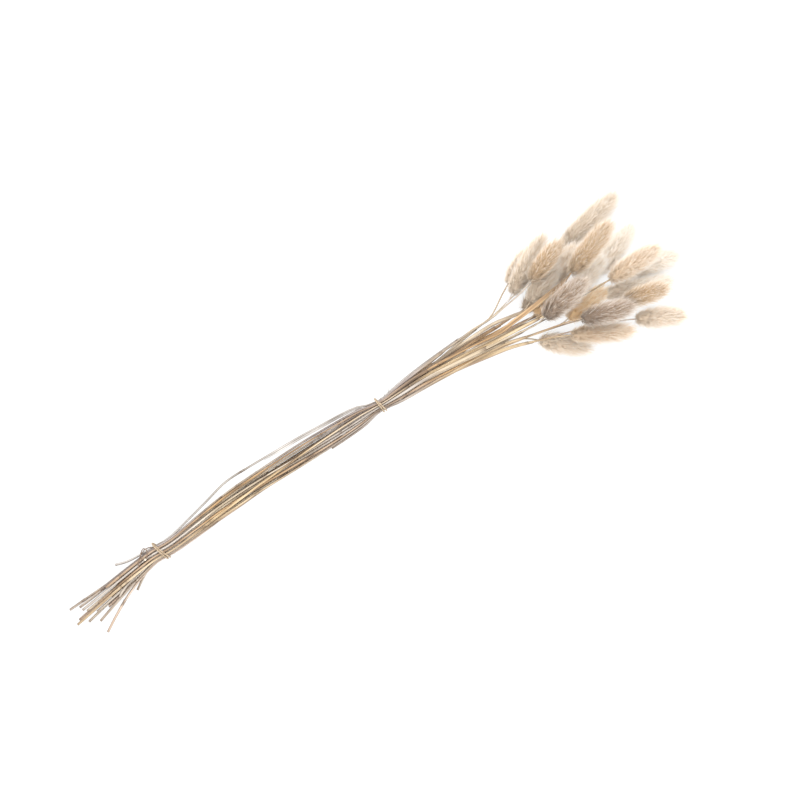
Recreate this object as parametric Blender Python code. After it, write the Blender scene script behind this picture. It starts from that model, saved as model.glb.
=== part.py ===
"""Dried bunny tail grass: a tied bunch of Lagurus ovatus, lying on a surface.

The stems run along X, from the cut ends at -X to the flower heads at +X, and the bunch lies on
the plane z = 0. Sizes are in millimetres here and are scaled to metres as the meshes are made.
The middle tie is the centre of the layout. The finished bunch is then moved as a whole, so that
the origin is under the middle of its outline.
"""

import math
from dataclasses import dataclass

import bmesh
import bpy
import numpy as np
from mathutils import Matrix, Vector

MM = 0.001
SEED = 7
GOLDEN = 0.618
GAP = 0.3                 # clear space between two pieces that touch

# Ties, as distances along the bunch from the middle tie
LOWER_TIE_X = -243.0
LOWER_TIE_Y = -15.3
LOWER_REACH = 9.5         # the stems run straight and close together this far each side of a tie
MID_REACH = 5.0
MID_PITCH = 1.98          # stem to stem in the middle tie
LOWER_PITCH = 2.75        # stem to stem in the lower tie, where the stalks are stouter
SLOT_ROWS = (4, 5, 6, 5, 4)
ROW_RISE = math.sqrt(3) / 2
OVAL_WIDE = 2.5           # half sizes of the oval that holds the rows, in pitches
OVAL_HIGH = 2.17
MID_TIE_Z = 21.0
BULGE_LIFT = 0.85         # how much taller the bunch is between its ties, in pitches a row
FAN_X = 128.0             # where the stalks leave the bundle for their heads
FAN_DRAW_UP = 0.85        # how near to a straight line to their heads they are there
FAN_DRAW_DOWN = 0.65
FAN_SIDE = {"head_02": 3.8, "head_13": 14.5, "head_16": 19.0, "head_09": -8.5, "head_12": -3.5}
SWAP = 1.1                # how readily stalks trade places between the ties, in pitches
ROW_WEIGHT = 10.0         # stalks keep to their row by this, against a scatter of ROW_SWAP
ROW_SWAP = 2.5
FAR_HEADS_HIGH = 0.02     # heads farther out count as higher by this share of their distance
UPPER_ENDS_FIRST = 0.05   # ends are sorted across the bunch, then by this much of their height
# Outline of the bundle seen from above: place along it, lower edge and upper edge
BUNDLE_EDGES = (
    (-233.5, -23.3, -7.3), (-220, -22.5, -5.5), (-200, -20.5, -2.0), (-180, -18.5, 1.5),
    (-160, -17.5, 4.5), (-140, -16.0, 6.0), (-120, -15.3, 7.5), (-100, -15.2, 8.8),
    (-80, -14.5, 9.8), (-60, -13.5, 10.0), (-40, -12.0, 10.0), (-20, -9.5, 9.0),
    (-5, -6.0, 6.0), (5, -6.0, 6.0), (20, -6.7, 8.2), (40, -6.8, 11.5),
    (60, -7.8, 14.5), (80, -9.5, 16.8), (100, -11.0, 18.8), (128, -14.5, 20.6),
)
# Course of the one stalk that bows out above the rest, with its kink
STRAY_COURSE = ((-205, -2.0), (-159, 10.3), (-132, 11.6), (-80, 12.2), (-34, 11.0), (-20, 9.6))
STRAY_RISE = 6.0          # it lies this far above the middle of the lower tie, at its kink
BELOW = (-332.5, -312.5, -292.5, -276, -263)
BETWEEN = (-205, -182, -159, -132, -106, -80, -56, -34, -20)
BEYOND = (20, 38, 56, 74, 92, 110, 128, 147, 166, 185, 205, 225, 245, 265)
END_CLEAR = 2.0           # no station is nearer than this to an end of a stalk
SAME_PLACE = 0.1

# Stalks
CULM_R = 0.56             # bare stalk below a head
SHEATH_R = 0.82           # stalk in its leaf sheath, squeezed by the middle tie
LOOSE_R = 0.98            # the same, free of the tie
FLAT_R = 1.3              # half width of the sheaths in the fan, where they lie flat
FOOT_R = 1.12             # stalk at the lower tie
FOOT_SCATTER = 0.1
FLARE_START = -262.0
FLARE_RUN = 35.0
FOOT_FLARE = 0.18         # how much wider the stalks are at their cut ends
NECK = 9.0                # the stalk runs straight into its head over this length
NECK_CLEAR = 6.0
HEAD_PULL = 0.8           # how strongly a stalk is drawn into the line of its head
SIDES = 6
SQUASH = 0.4              # how much thinner a sheath lies where it is broad
MOUTH_BELOW = 50.0        # bare stalk between a head and its sheath, at least
MOUTH_STEP = 8.0
MOUTH_STEPS = 7
MOUTH_RUN = 10.0          # a sheath narrows to its mouth over this length
LOOSE_RUN = 22.0          # the stalks spread to their loose size over this length beside the tie
FLAT_CLEAR = 2.0          # the sheaths lie flat from here past the tie, over FLAT_RUN
FLAT_RUN = 24.0
FLAT_PAST_MOUTH = 4.0
BROAD_RUN = 28.0          # a broad sheath widens over this length
BROAD_TAPER = 12.0        # and narrows over this one
FOOT_START = -60.0        # from here down the stalks grow stouter, over FOOT_RUN
FOOT_RUN = 120.0
RISE_RUN = 900.0          # heads tilt up or down by their height over this length
NEAR_GOAL = 60.0

# Ties: a band wound twice, which crosses over itself once
BAND_R = 0.6
BAND_POINTS = 36
BAND_SPREAD = 1.25
MID_BAND_SLANT = -0.2
LOWER_BAND_SLANT = -0.36
CROSSING_LIFT = 2 * BAND_R + GAP    # how far the outer turn stands out where it crosses
CROSSING_LENGTH = 6       # the higher, the shorter the crossing
BAND_FLAT = 0.15          # how deep the surface presses into the lower tie
KNOT_XY = (-260.0, -14.5)
KNOT_R = 1.5
STRING_R = 0.5
LOOP_LENGTH = 11.0
LOOP_WIDTH = 6.0
LOOP_POINTS = 14
LOOP_AIM = (0.5, 0.85)    # the way that the loop points in plan
KNOT_LENGTH = 8           # the higher, the shorter the knot
STRING_SEAT = 1.0         # the string rests on what is this near below it
STALK_FALL = 0.6          # how steeply the round of a stalk falls off beside the string

SURFACE_BLOCK = (0.8, 0.3, 0.04)    # block below the bunch, in metres
ROUGHNESS = 0.85
MERGE = 1e-6              # points nearer than this are one, in metres

# Flower heads
WIDEST = 0.8              # below 1 the widest place is nearer to the stalk
FULLNESS = 2.6
ROUNDNESS = 0.55
RINGS = 16
BRISTLE_ROWS = 12
BRISTLE = 0.36            # share of a head's half width that its bristles take
BRISTLE_LEAST = 0.7       # the shortest bristle, as a share of the longest
END_BRISTLE = 0.4         # how long the bristles stay towards the ends of a head
LEAN = 1.15               # how far a bristle leans to the tip, for each unit that it stands out
LEAN_START = 0.3          # share of the length over which the lean sets in
CORE_LENGTH = 0.94
COLLAR = 0.3              # half width of the flat end on the stalk, as a share of the core
FLAT_DEPTH = 0.5          # how deep the surface presses into the core of a head that lies on it
NARROWEST_HEAD = 2.0      # a head keeps this half width to its very ends as the plants settle


@dataclass
class Head:
    """A flower head: where it starts, where its tip is, its width and its height."""

    base: tuple
    tip: tuple
    width: float
    level: float
    tone: str


LYING, LOW, MIDDLE, HIGH, TOP = 0.0, 14.0, 25.0, 40.0, 52.0
HEADS = {
    "head_01": Head((222, 44), (288, 60), 19, LYING, "cream"),
    "head_02": Head((211, 18), (264, 39), 19, TOP, "taupe"),
    "head_03": Head((238, 6), (288, 29), 18, LYING, "cream"),
    "head_04": Head((240, -5), (293, -2), 18, HIGH, "gold"),
    "head_05": Head((263, -9), (311, -17), 19, LYING, "cream"),
    "head_06": Head((233, -15), (295, -35), 19, LYING, "cream"),
    "head_07": Head((240, -29), (281, -37), 17, HIGH, "gold"),
    "head_08": Head((245, -49), (287, -69), 18, LOW, "cream"),
    "head_09": Head((199, -24), (245, -36), 18, HIGH, "taupe"),
    "head_10": Head((185, -32), (237, -57), 17, MIDDLE, "taupe"),
    "head_11": Head((159, -22), (195, -51), 18, LYING, "cream"),
    "head_12": Head((170, -5), (218, 6), 20, TOP, "taupe"),
    "head_13": Head((167, 14), (204, 32), 19, HIGH, "taupe"),
    "head_14": Head((160, 39), (189, 56), 15, LYING, "gold"),
    "head_15": Head((157, 29), (209, 61), 17, MIDDLE, "cream"),
    "head_16": Head((176, 30), (217, 47), 17, HIGH, "gold"),
    "head_17": Head((194, 18), (230, 38), 17, LOW, "gold"),
    "head_18": Head((190, -17), (233, -11), 17, MIDDLE, "gold"),
    "head_19": Head((210, 2), (245, 16), 18, MIDDLE, "cream"),
    "head_20": Head((160, 10), (190, 19), 16, LOW, "taupe"),
    "head_21": Head((166, 2), (199, 9), 16, LOW, "cream"),
}
# Straws that lost their heads: how far each reaches in plan, and its height
STRAWS = {
    "straw_broken": ((5.0, -9), 15.0),
    "straw_sheath": ((66, 7), 27.0),
    "straw_pale": ((-168, -14), 30.0),
}
# A loose piece of straw, held by the middle tie alone in the place that the pale straw leaves free
LOOSE_STRAW = "straw_flat"
LOOSE_START = (-58.0, 0.0)
LOOSE_REACH = ((48, 1.5), 27.0)
SLOT_LEADER = "straw_pale"

# Cut ends that stand clear of the rest, in plan, how late each leaves the bundle, and the side
# step by which it takes its turn across it. The other ends lie among them by a rule.
OUTER_ENDS = (
    (-286, -5, 4.0, -5), (-309, -18.5, 1.0, -18), (-344, -20, 1.0, -27), (-334, -22.5, 1.0, -22),
    (-332, -26, 1.0, -26), (-330, -29, 1.0, -29), (-341, -32.5, 1.1, -32), (-343, -35.5, 1.1, -35),
    (-280, -35.5, 1.5, -50), (-334, -38.5, 1.1, -39), (-323, -43, 1.2, -43), (-323, -55.5, 1.5, -56),
)
INNER_END_X = (-322.0, -292.0)
INNER_END_Y = (-36.0, -19.0)
END_LEVELS = (2.6, 15.6)
END_SCATTER = 0.25
# Broad leaf sheaths: from, to and half width
BROAD_SHEATHS = {
    "stem_02": (122, 204, 2.2),
    "stem_13": (84, 158, 1.7),
    "stem_10": (60, 150, 1.6),
    "stem_06": (40, 128, 1.6),
    "stem_17": (66, 140, 1.8),
    "stem_12": (50, 120, 1.6),
    "stem_15": (24, 100, 1.6),
    "stem_04": (60, 150, 1.6),
    "straw_sheath": (24, 70, 1.6),
    "straw_flat": (20, 52, 1.6),
}

COLOURS = {
    "cream": (0.82, 0.74, 0.62, 1.0),
    "gold": (0.72, 0.56, 0.36, 1.0),
    "taupe": (0.52, 0.43, 0.34, 1.0),
    "straw": (0.66, 0.50, 0.29, 1.0),
    "grey straw": (0.48, 0.43, 0.36, 1.0),
    "olive straw": (0.46, 0.42, 0.24, 1.0),
    "brown straw": (0.36, 0.25, 0.15, 1.0),
    "raffia": (0.74, 0.58, 0.40, 1.0),
    "string": (0.85, 0.80, 0.72, 1.0),
}


@dataclass
class Plant:
    """One stalk from its cut end to its tip, as nodes along X with a height and a side step."""

    name: str
    head: Head | None
    xs: np.ndarray
    path: np.ndarray
    fixed: np.ndarray
    foot: float


def smooth(t):
    """Ease from 0 to 1 as t goes from 0 to 1."""
    t = np.clip(t, 0.0, 1.0)
    return t * t * (3 - 2 * t)


def head_radius(u):
    """Outline of a head as a share of its half width, at the share u of its length."""
    along = min(max(u, 0.0), 1.0) ** WIDEST
    return (1 - abs(2 * along - 1) ** FULLNESS) ** ROUNDNESS


def slots():
    """Places of the stalks in a tie, in pitches, row by row from the lowest."""
    places = []
    for row, count in enumerate(SLOT_ROWS):
        rise = (row - (len(SLOT_ROWS) - 1) / 2) * ROW_RISE
        places += [((i - (count - 1) / 2), rise) for i in range(count)]
    return places


def tie_half_sizes(pitch, stalk):
    """Half width and half height of the oval that a band follows round the stalks."""
    clear = stalk + GAP + BAND_R
    return OVAL_WIDE * pitch + clear, OVAL_HIGH * pitch + clear


LOWER_TIE_Z = tie_half_sizes(LOWER_PITCH, FOOT_R)[1] + BAND_R - BAND_FLAT


def rest_level(head):
    """Height of the axis of a head that lies on the surface, on a small flat of its core."""
    return head.width / 2 * (1 - BRISTLE) - FLAT_DEPTH


def level_of(head):
    """Height of the axis of a head."""
    return rest_level(head) if head.level == LYING else head.level


def stations(first, last):
    """Places along X where the stalks are drawn, the same for all of them."""
    lower, middle = (LOWER_TIE_X - LOWER_REACH, LOWER_TIE_X + LOWER_REACH), (-MID_REACH, MID_REACH)
    xs = np.array([*BELOW, *lower, *BETWEEN, *middle, *BEYOND])
    inside = xs[(xs > first + END_CLEAR) & (xs < last - END_CLEAR)]
    return np.concatenate([[first], inside, [last]])


def cubic(p0, p1, m0, m1, t):
    """Point of a cubic that leaves p0 along m0 and reaches p1 along m1."""
    t = t[:, None]
    h01 = t * t * (3 - 2 * t)
    return (1 - h01) * p0 + h01 * p1 + t * (1 - t) ** 2 * m0 - t * t * (1 - t) * m1


def across_bundle(x, share):
    """Side step of a stalk in the bundle, where share goes from its lower to its upper edge."""
    table = np.array(BUNDLE_EDGES)
    lower = np.interp(x, table[:, 0], table[:, 1]) + LOOSE_R
    upper = np.interp(x, table[:, 0], table[:, 2]) - LOOSE_R
    return lower + share * (upper - lower)


def share_of_slot(slot):
    """Place of a slot across its tie, from 0 to 1."""
    return slot[0] / (max(SLOT_ROWS) - 1) + 0.5


def route(xs, slot, foot_slot, end, goal, goal_dir, fan_side, stray):
    """Side step and height of a stalk at each place: end, lower tie, bundle, middle tie, head."""
    mid = np.array([0.0, MID_TIE_Z]) + MID_PITCH * np.array(slot)
    low = np.array([LOWER_TIE_Y, LOWER_TIE_Z]) + LOWER_PITCH * np.array(foot_slot)
    path = np.tile(mid, (len(xs), 1))
    start, leave = LOWER_TIE_X - LOWER_REACH, LOWER_TIE_X + LOWER_REACH
    tail = xs <= start
    share = ((start - xs[tail]) / (start - end[0])) ** end[3]
    path[tail] = low + share[:, None] * (np.array([end[1], end[2]]) - low)
    path[(xs > start) & (xs <= leave)] = low
    between = (xs > leave) & (xs < -MID_REACH)
    t = (xs[between] - leave) / (-MID_REACH - leave)
    bow = np.sin(math.pi * t)
    trade = share_of_slot(foot_slot) + smooth(t) * (share_of_slot(slot) - share_of_slot(foot_slot))
    rise = low[1] + smooth(t) * (mid[1] - low[1]) + bow * slot[1] * BULGE_LIFT * MID_PITCH
    path[between] = np.column_stack([across_bundle(xs[between], trade), rise])
    if stray:
        course = np.array([(leave, low[0]), *STRAY_COURSE, (-MID_REACH, mid[0])])
        path[between, 0] = np.interp(xs[between], course[:, 0], course[:, 1])
        path[between, 1] += bow * STRAY_RISE
    if goal is not None:
        turn_x = min(goal[0], FAN_X)
        side = goal[1] * turn_x / goal[0]
        if goal[0] > FAN_X:
            side *= FAN_DRAW_UP if side > 0 else FAN_DRAW_DOWN
        if fan_side is not None:
            side = fan_side
        ends = across_bundle(turn_x, np.array([0.0, 1.0]))
        aim_share = np.clip((side - ends[0]) / (ends[1] - ends[0]), 0.0, 1.0)
        fan = (xs > MID_REACH) & (xs <= turn_x)
        t = (xs[fan] - MID_REACH) / (turn_x - MID_REACH)
        share = share_of_slot(slot) + smooth(t) * (aim_share - share_of_slot(slot))
        climb = (goal[2] - mid[1]) / (goal[0] - MID_REACH)
        path[fan] = np.column_stack([across_bundle(xs[fan], share),
                                     mid[1] + climb * (xs[fan] - MID_REACH)])
        free = xs > turn_x
        if free.any():
            knee = np.array([across_bundle(turn_x, aim_share), mid[1] + climb * (turn_x - MID_REACH)])
            aim, span = np.array(goal[1:]), goal[0] - turn_x
            t = np.clip((xs[free] - turn_x) / span, 0, None)
            path[free] = cubic(knee, aim, (aim - knee) * HEAD_PULL,
                               np.array(goal_dir) * span * HEAD_PULL, t)
    return path


def plan_ends(rng, count):
    """Cut ends in plan with their lateness, sorted across the bunch."""
    inner = count - len(OUTER_ENDS)
    ends = list(OUTER_ENDS)
    for i in range(inner):
        share = (i + 0.5) / inner
        x = INNER_END_X[1] + (INNER_END_X[0] - INNER_END_X[1]) * rng.random()
        y = INNER_END_Y[1] + share * (INNER_END_Y[0] - INNER_END_Y[1])
        ends.append((x, y, 1.0, y))
    return sorted(ends, key=lambda e: -e[3])


def end_level(rise, i):
    """Height of the cut end of the stalk number i, from its height in the lower tie, in pitches."""
    row = rise / (ROW_RISE * (len(SLOT_ROWS) - 1)) + 0.5
    share = row + END_SCATTER * ((i * GOLDEN) % 1.0 - row)
    return END_LEVELS[0] + share * (END_LEVELS[1] - END_LEVELS[0])


def head_goal(head):
    """Where the stalk of a head has to go: its base, its height and the way that it points."""
    z = level_of(head)
    run = head.tip[0] - head.base[0]
    rise = 0.0 if head.level == LYING else (z - MID_TIE_Z) / RISE_RUN
    return head.base, z, ((head.tip[1] - head.base[1]) / run, rise)


def tie_places(goals):
    """Slot of each stalk in the middle tie: low heads in the low rows, each row in plan order."""
    low_first = sorted(goals, key=lambda n: goals[n][1] + FAR_HEADS_HIGH * goals[n][0][0])
    places, start = {}, 0
    for count in SLOT_ROWS:
        names = low_first[start:start + count]
        names.sort(key=lambda n: goals[n][0][1] / max(goals[n][0][0], NEAR_GOAL))
        places.update(zip(names, slots()[start:start + count]))
        start += count
    return places


def foot_places(places, rng):
    """Slot of each stalk in the lower tie: some have traded places with a neighbour."""
    by_height = sorted(places, key=lambda n: places[n][1] * ROW_WEIGHT + rng.normal(0, ROW_SWAP))
    feet, start = {}, 0
    for count in SLOT_ROWS:
        names = by_height[start:start + count]
        names.sort(key=lambda n: places[n][0] + rng.normal(0, SWAP))
        feet.update(zip(names, slots()[start:start + count]))
        start += count
    return feet


def new_plant(name, head, goal, slot, foot_slot, end, stray, foot):
    """Plant with its first route."""
    base, z, slope = goal
    xs = stations(end[0], base[0])
    aim = (base[0], base[1], z) if base[0] > MID_REACH + SAME_PLACE else None
    if head:
        xs = xs[(xs < base[0] - NECK - NECK_CLEAR) | (xs == base[0])]
        xs = np.insert(xs, len(xs) - 1, base[0] - NECK)
    path = route(xs, slot, foot_slot, end, aim, slope, FAN_SIDE.get(name), stray)
    if head:
        xs = np.append(xs, head.tip[0])
        path = np.vstack([path, (head.tip[1], path[-1][1] + slope[1] * (head.tip[0] - base[0]))])
    fixed = np.zeros(len(xs), bool)
    for tie_x, reach in ((0.0, MID_REACH), (LOWER_TIE_X, LOWER_REACH)):
        fixed |= abs(abs(xs - tie_x) - reach) < SAME_PLACE
    return Plant(name, head, xs, path, fixed, foot)


def lay_out():
    """Plants with a place in each tie, a cut end and a first route."""
    rng = np.random.default_rng(SEED)
    goals = {name: head_goal(head) for name, head in HEADS.items()}
    goals.update({name: (reach, z, (0.0, 0.0)) for name, (reach, z) in STRAWS.items()})
    places = tie_places(goals)
    feet = foot_places(places, rng)
    stray = max(places, key=lambda n: places[n][0])
    top = max(feet, key=lambda n: feet[n][0])
    feet[stray], feet[top] = feet[top], feet[stray]
    across = sorted(feet, key=lambda n: -feet[n][0] - UPPER_ENDS_FIRST * feet[n][1])
    ends = {name: (x, y, end_level(feet[name][1], i), late) for i, (name, (x, y, late, _))
            in enumerate(zip(across, plan_ends(rng, len(across))))}
    plants = []
    for name, goal in goals.items():
        foot = FOOT_R - FOOT_SCATTER * rng.random()
        plants.append(new_plant(name, HEADS.get(name), goal, places[name], feet[name], ends[name],
                                name == stray, foot))
    loose_goal = (*LOOSE_REACH, (0.0, 0.0))
    plants.append(new_plant(LOOSE_STRAW, None, loose_goal, places[SLOT_LEADER], feet[SLOT_LEADER],
                            (*LOOSE_START, MID_TIE_Z, 1.0), False, LOOSE_R))
    return plants


def mouth_of(plant):
    """Place along the bunch where the upper leaf sheath of a stalk ends."""
    return plant.head.base[0] - MOUTH_BELOW - MOUTH_STEP * (sum(map(ord, plant.name)) % MOUTH_STEPS)


def stalk_radius(plant, x):
    """Radius of a stalk at x: bare near the head, then its sheath, stoutest at the foot."""
    sheath = smooth((mouth_of(plant) - x) / MOUTH_RUN + 0.5) if plant.head else 1.0
    loose = smooth((abs(x) - MID_REACH) / LOOSE_RUN)
    foot = smooth((FOOT_START - x) / FOOT_RUN)
    covered = SHEATH_R + (LOOSE_R - SHEATH_R) * loose
    return CULM_R + (covered - CULM_R) * sheath + (plant.foot - LOOSE_R) * foot


def half_width(plant, x):
    """Half width of a stalk seen from above, wider where its sheath lies flat and at its foot."""
    radius = stalk_radius(plant, x)
    broad = BROAD_SHEATHS.get(plant.name.replace("head", "stem"))
    if plant.head:
        flat = (smooth((x - MID_REACH - FLAT_CLEAR) / FLAT_RUN)
                * smooth((mouth_of(plant) + FLAT_PAST_MOUTH - x) / MOUTH_RUN))
        radius += (FLAT_R - radius) * flat
    if broad:
        lower, upper, most = broad
        swell = (smooth((x - lower) / BROAD_RUN + 0.5)
                 * smooth((upper - x) / BROAD_TAPER + 0.5))
        radius += (most - radius) * swell
    return radius * (1 + FOOT_FLARE * smooth((FLARE_START - x) / FLARE_RUN))


def slice_weights(xs, cuts):
    """How much each node of a stalk counts at each cut across the bunch."""
    weights = np.zeros((len(cuts), len(xs)))
    for row, x in enumerate(cuts):
        if xs[0] <= x <= xs[-1]:
            i = min(int(np.searchsorted(xs, x, side="right")) - 1, len(xs) - 2)
            t = (x - xs[i]) / (xs[i + 1] - xs[i])
            weights[row, i], weights[row, i + 1] = 1 - t, t
    return weights


def slice_radii(plant, cuts):
    """Radius of a plant at each cut, widened where it runs at a slant, and whether it is head."""
    radii, is_head = np.zeros(len(cuts)), np.zeros(len(cuts), bool)
    for i, x in enumerate(cuts):
        if plant.head and x > plant.head.base[0]:
            (x0, y0), (x1, y1) = plant.head.base, plant.head.tip
            u = (x - x0) / (x1 - x0)
            slant = math.hypot(x1 - x0, y1 - y0) / (x1 - x0)
            radii[i] = max(plant.head.width / 2 * head_radius(u) * slant, NARROWEST_HEAD)
            is_head[i] = True
        else:
            radii[i] = half_width(plant, x)
    return radii, is_head


@dataclass(frozen=True)
class Settling:
    """How the plants are eased apart: lengths in millimetres, the rest as shares."""

    rounds: int = 1500
    firm: float = 0.7             # this share of the rounds is stiff, the rest is supple
    stiff: float = 0.22
    supple: float = 0.06
    first: float = -345.0         # cuts across the bunch, from the first to the last
    last: float = 312.0
    apart: float = 4.0
    start_scatter: float = 0.05
    head_give: float = 0.22       # how little a head gives way, where a stalk gives way by 1
    head_aside: float = 0.35      # heads go aside by this, where they go up or down by 1
    push: float = 0.6
    most_push: float = 1.2
    most_lift: float = 1.5
    gain: float = 2.0
    most_step: float = 1.0
    tie_gap: float = 0.15
    free_gap: float = 0.65
    floor_gap: float = 0.3
    side_pull: float = 0.97       # how much of its step a head keeps, in plan and in height
    height_pull: float = 0.998


def settle(plants, way=Settling()):
    """Ease the plants apart until every cut across the bunch is clear."""
    rng = np.random.default_rng(SEED + 1)
    cuts = np.arange(way.first, way.last, way.apart)
    weights = [slice_weights(p.xs, cuts) for p in plants]
    shares = [w / np.maximum(w.sum(axis=0), 1e-9) for w in weights]
    inside = np.array([w.sum(axis=1) > 0 for w in weights])
    radii, is_head = map(np.array, zip(*(slice_radii(p, cuts) for p in plants)))
    lying = np.array([bool(p.head) and p.head.level == LYING for p in plants])
    floor = np.where(is_head, radii * (1 - BRISTLE) - FLAT_DEPTH, radii + way.floor_gap)
    first = [p.path.copy() for p in plants]
    for p in plants:
        p.path[~p.fixed] += rng.normal(0, way.start_scatter, p.path[~p.fixed].shape)
    ease = np.where(is_head, way.head_give, 1.0)
    near_tie = (abs(cuts) < MID_REACH + 1) | (abs(cuts - LOWER_TIE_X) < LOWER_REACH + 1)
    wanted = np.where(near_tie, way.tie_gap, way.free_gap)
    for turn in range(way.rounds):
        firm = turn < way.rounds * way.firm
        now = np.array([w @ p.path for w, p in zip(weights, plants)])
        apart = now[:, None] - now[None]
        dist = np.maximum(np.linalg.norm(apart, axis=3), 1e-6)
        need = radii[:, None] + radii[None] + wanted - dist
        need[~(inside[:, None] & inside[None])] = 0
        need[np.arange(len(plants)), np.arange(len(plants))] = 0
        need = np.clip(need, 0, way.most_push)
        share = ease[:, None] / (ease[:, None] + ease[None])
        aside = apart / dist[..., None]
        both = (is_head[:, None] & is_head[None])[..., None]
        aside = np.where(both, aside * np.array([way.head_aside, 1.0]), aside)
        push = (need[..., None] * aside * share[..., None] * way.push).sum(axis=1)
        push[..., 1] += np.clip(floor - now[..., 1], 0, way.most_lift) * inside
        for i, p in enumerate(plants):
            step = shares[i].T @ push[i] * way.gain
            p.path[~p.fixed] += np.clip(step, -way.most_step, way.most_step)[~p.fixed]
            moved = p.path - first[i]
            last = len(p.xs) - (3 if p.head else 1)
            for k in range(1, last):
                if not p.fixed[k]:
                    pull = way.stiff if firm else way.supple
                    moved[k] += pull * ((moved[k - 1] + moved[k + 1]) / 2 - moved[k])
            if p.head:
                moved[-2:, 0] *= way.side_pull
                if firm:
                    moved[-2:, 1] *= way.height_pull
            p.path = first[i] + moved
            if p.head:
                if lying[i]:
                    p.path[-2:, 1] = rest_level(p.head)
                run = (p.xs[-2] - p.xs[-3]) / (p.xs[-1] - p.xs[-2])
                p.path[-3] = p.path[-2] - (p.path[-1] - p.path[-2]) * run
    return need.max()


def new_material(name, colour, roughness):
    """Principled material with a plain colour."""
    material = bpy.data.materials.new(name)
    material.use_nodes = True
    shader = material.node_tree.nodes["Principled BSDF"]
    shader.inputs["Base Color"].default_value = colour
    shader.inputs["Roughness"].default_value = roughness
    shader.inputs["Metallic"].default_value = 0.0
    return material


def add_object(name, data, material, collection, root):
    """Link an object for the data, give it its material and parent it to the root."""
    obj = bpy.data.objects.new(name, data)
    data.materials.append(material)
    collection.objects.link(obj)
    obj.parent = root
    return obj


def stalk_mesh(plant):
    """Loft of six-sided sections: round culm, flatter sheath, swollen nodes, cut foot."""
    xs = plant.xs[:-1] if plant.head else plant.xs
    path = plant.path[:len(xs)].copy()
    xs = xs.copy()
    if plant.head:
        back = (plant.path[-1] - path[-1]) / (plant.xs[-1] - xs[-1])
        reach = GAP / math.sqrt(1 + back @ back)
        xs[-1] -= reach
        path[-1] -= back * reach
    slope = np.gradient(path, xs, axis=0)
    bm = bmesh.new()
    rings = []
    for i, x in enumerate(xs):
        across, up = half_width(plant, x), stalk_radius(plant, x)
        up *= (up / across) ** SQUASH
        across *= math.hypot(1, slope[i][0])
        up *= math.hypot(1, slope[i][1])
        ring = []
        for k in range(SIDES):
            turn = 2 * math.pi * k / SIDES
            point = (x, path[i][0] + across * math.cos(turn), path[i][1] + up * math.sin(turn))
            ring.append(bm.verts.new(Vector(point) * MM))
        rings.append(ring)
    for a, b in zip(rings, rings[1:]):
        for k in range(SIDES):
            n = (k + 1) % SIDES
            bm.faces.new((a[k], a[n], b[n], b[k]))
    bm.faces.new(rings[0][::-1])
    bm.faces.new(rings[-1])
    bmesh.ops.recalc_face_normals(bm, faces=bm.faces)
    mesh = bpy.data.meshes.new(plant.name)
    bm.to_mesh(mesh)
    bm.free()
    return mesh


def head_mesh(head, length, seed):
    """Globe drawn out to a head: every second point is pulled out and forward as a bristle."""
    rng = np.random.default_rng(seed)
    bm = bmesh.new()
    bmesh.ops.create_uvsphere(bm, u_segments=BRISTLE_ROWS, v_segments=RINGS, radius=1.0)
    core = head.width / 2 * (1 - BRISTLE)
    bristle = head.width / 2 * BRISTLE
    is_tip = {}
    for v in sorted(bm.verts, key=lambda v: (round(v.co.z, 4), math.atan2(v.co.y, v.co.x))):
        ring = round(math.acos(max(-1, min(1, v.co.z))) / math.pi * RINGS)
        spoke = round(math.atan2(v.co.y, v.co.x) / (2 * math.pi) * BRISTLE_ROWS)
        pole = ring in (0, RINGS)
        is_tip[v] = not pole and ring != RINGS - 1 and (ring + spoke) % 2 == 0
        u = 1 - ring / RINGS
        if ring >= RINGS - 1:
            along, out = 0.0, 0.0 if pole else core * COLLAR
        else:
            u = (RINGS - 1 - ring) / (RINGS - 1)
            along, out = length * u * CORE_LENGTH, core * head_radius(u)
        if is_tip[v]:
            stand = bristle * (BRISTLE_LEAST + (1 - BRISTLE_LEAST) * rng.random())
            stand *= END_BRISTLE + (1 - END_BRISTLE) * head_radius(u)
            along += stand * LEAN * smooth(u / LEAN_START)
            out += stand
        if ring == 0:
            along, out = length, 0.0
        turn = 2 * math.pi * spoke / BRISTLE_ROWS
        v.co = Vector((out * math.cos(turn), out * math.sin(turn), along)) * MM
    for face in [f for f in bm.faces if len(f.verts) == 4]:
        low = [v for v in face.verts if not is_tip[v]]
        if len(low) == 4:
            low = [face.verts[0], face.verts[2]]
        if len(low) == 3:
            tip = next(v for v in face.verts if is_tip[v])
            corner = list(face.verts)
            i = corner.index(tip)
            low = [corner[i - 1], corner[(i + 1) % 4]]
        bmesh.utils.face_split(face, low[0], low[1])
    bmesh.ops.recalc_face_normals(bm, faces=bm.faces)
    mesh = bpy.data.meshes.new("head")
    bm.to_mesh(mesh)
    bm.free()
    return mesh


def as_mesh(obj):
    """Turn a curve object into a closed mesh object of the same name and place."""
    graph = bpy.context.evaluated_depsgraph_get()
    mesh = bpy.data.meshes.new_from_object(obj.evaluated_get(graph))
    bm = bmesh.new()
    bm.from_mesh(mesh)
    bmesh.ops.remove_doubles(bm, verts=bm.verts, dist=MERGE)
    bm.to_mesh(mesh)
    bm.free()
    name, root, collection = obj.name, obj.parent, obj.users_collection[0]
    bpy.data.objects.remove(obj)
    solid = bpy.data.objects.new(name, mesh)
    collection.objects.link(solid)
    solid.parent = root
    return solid


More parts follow.
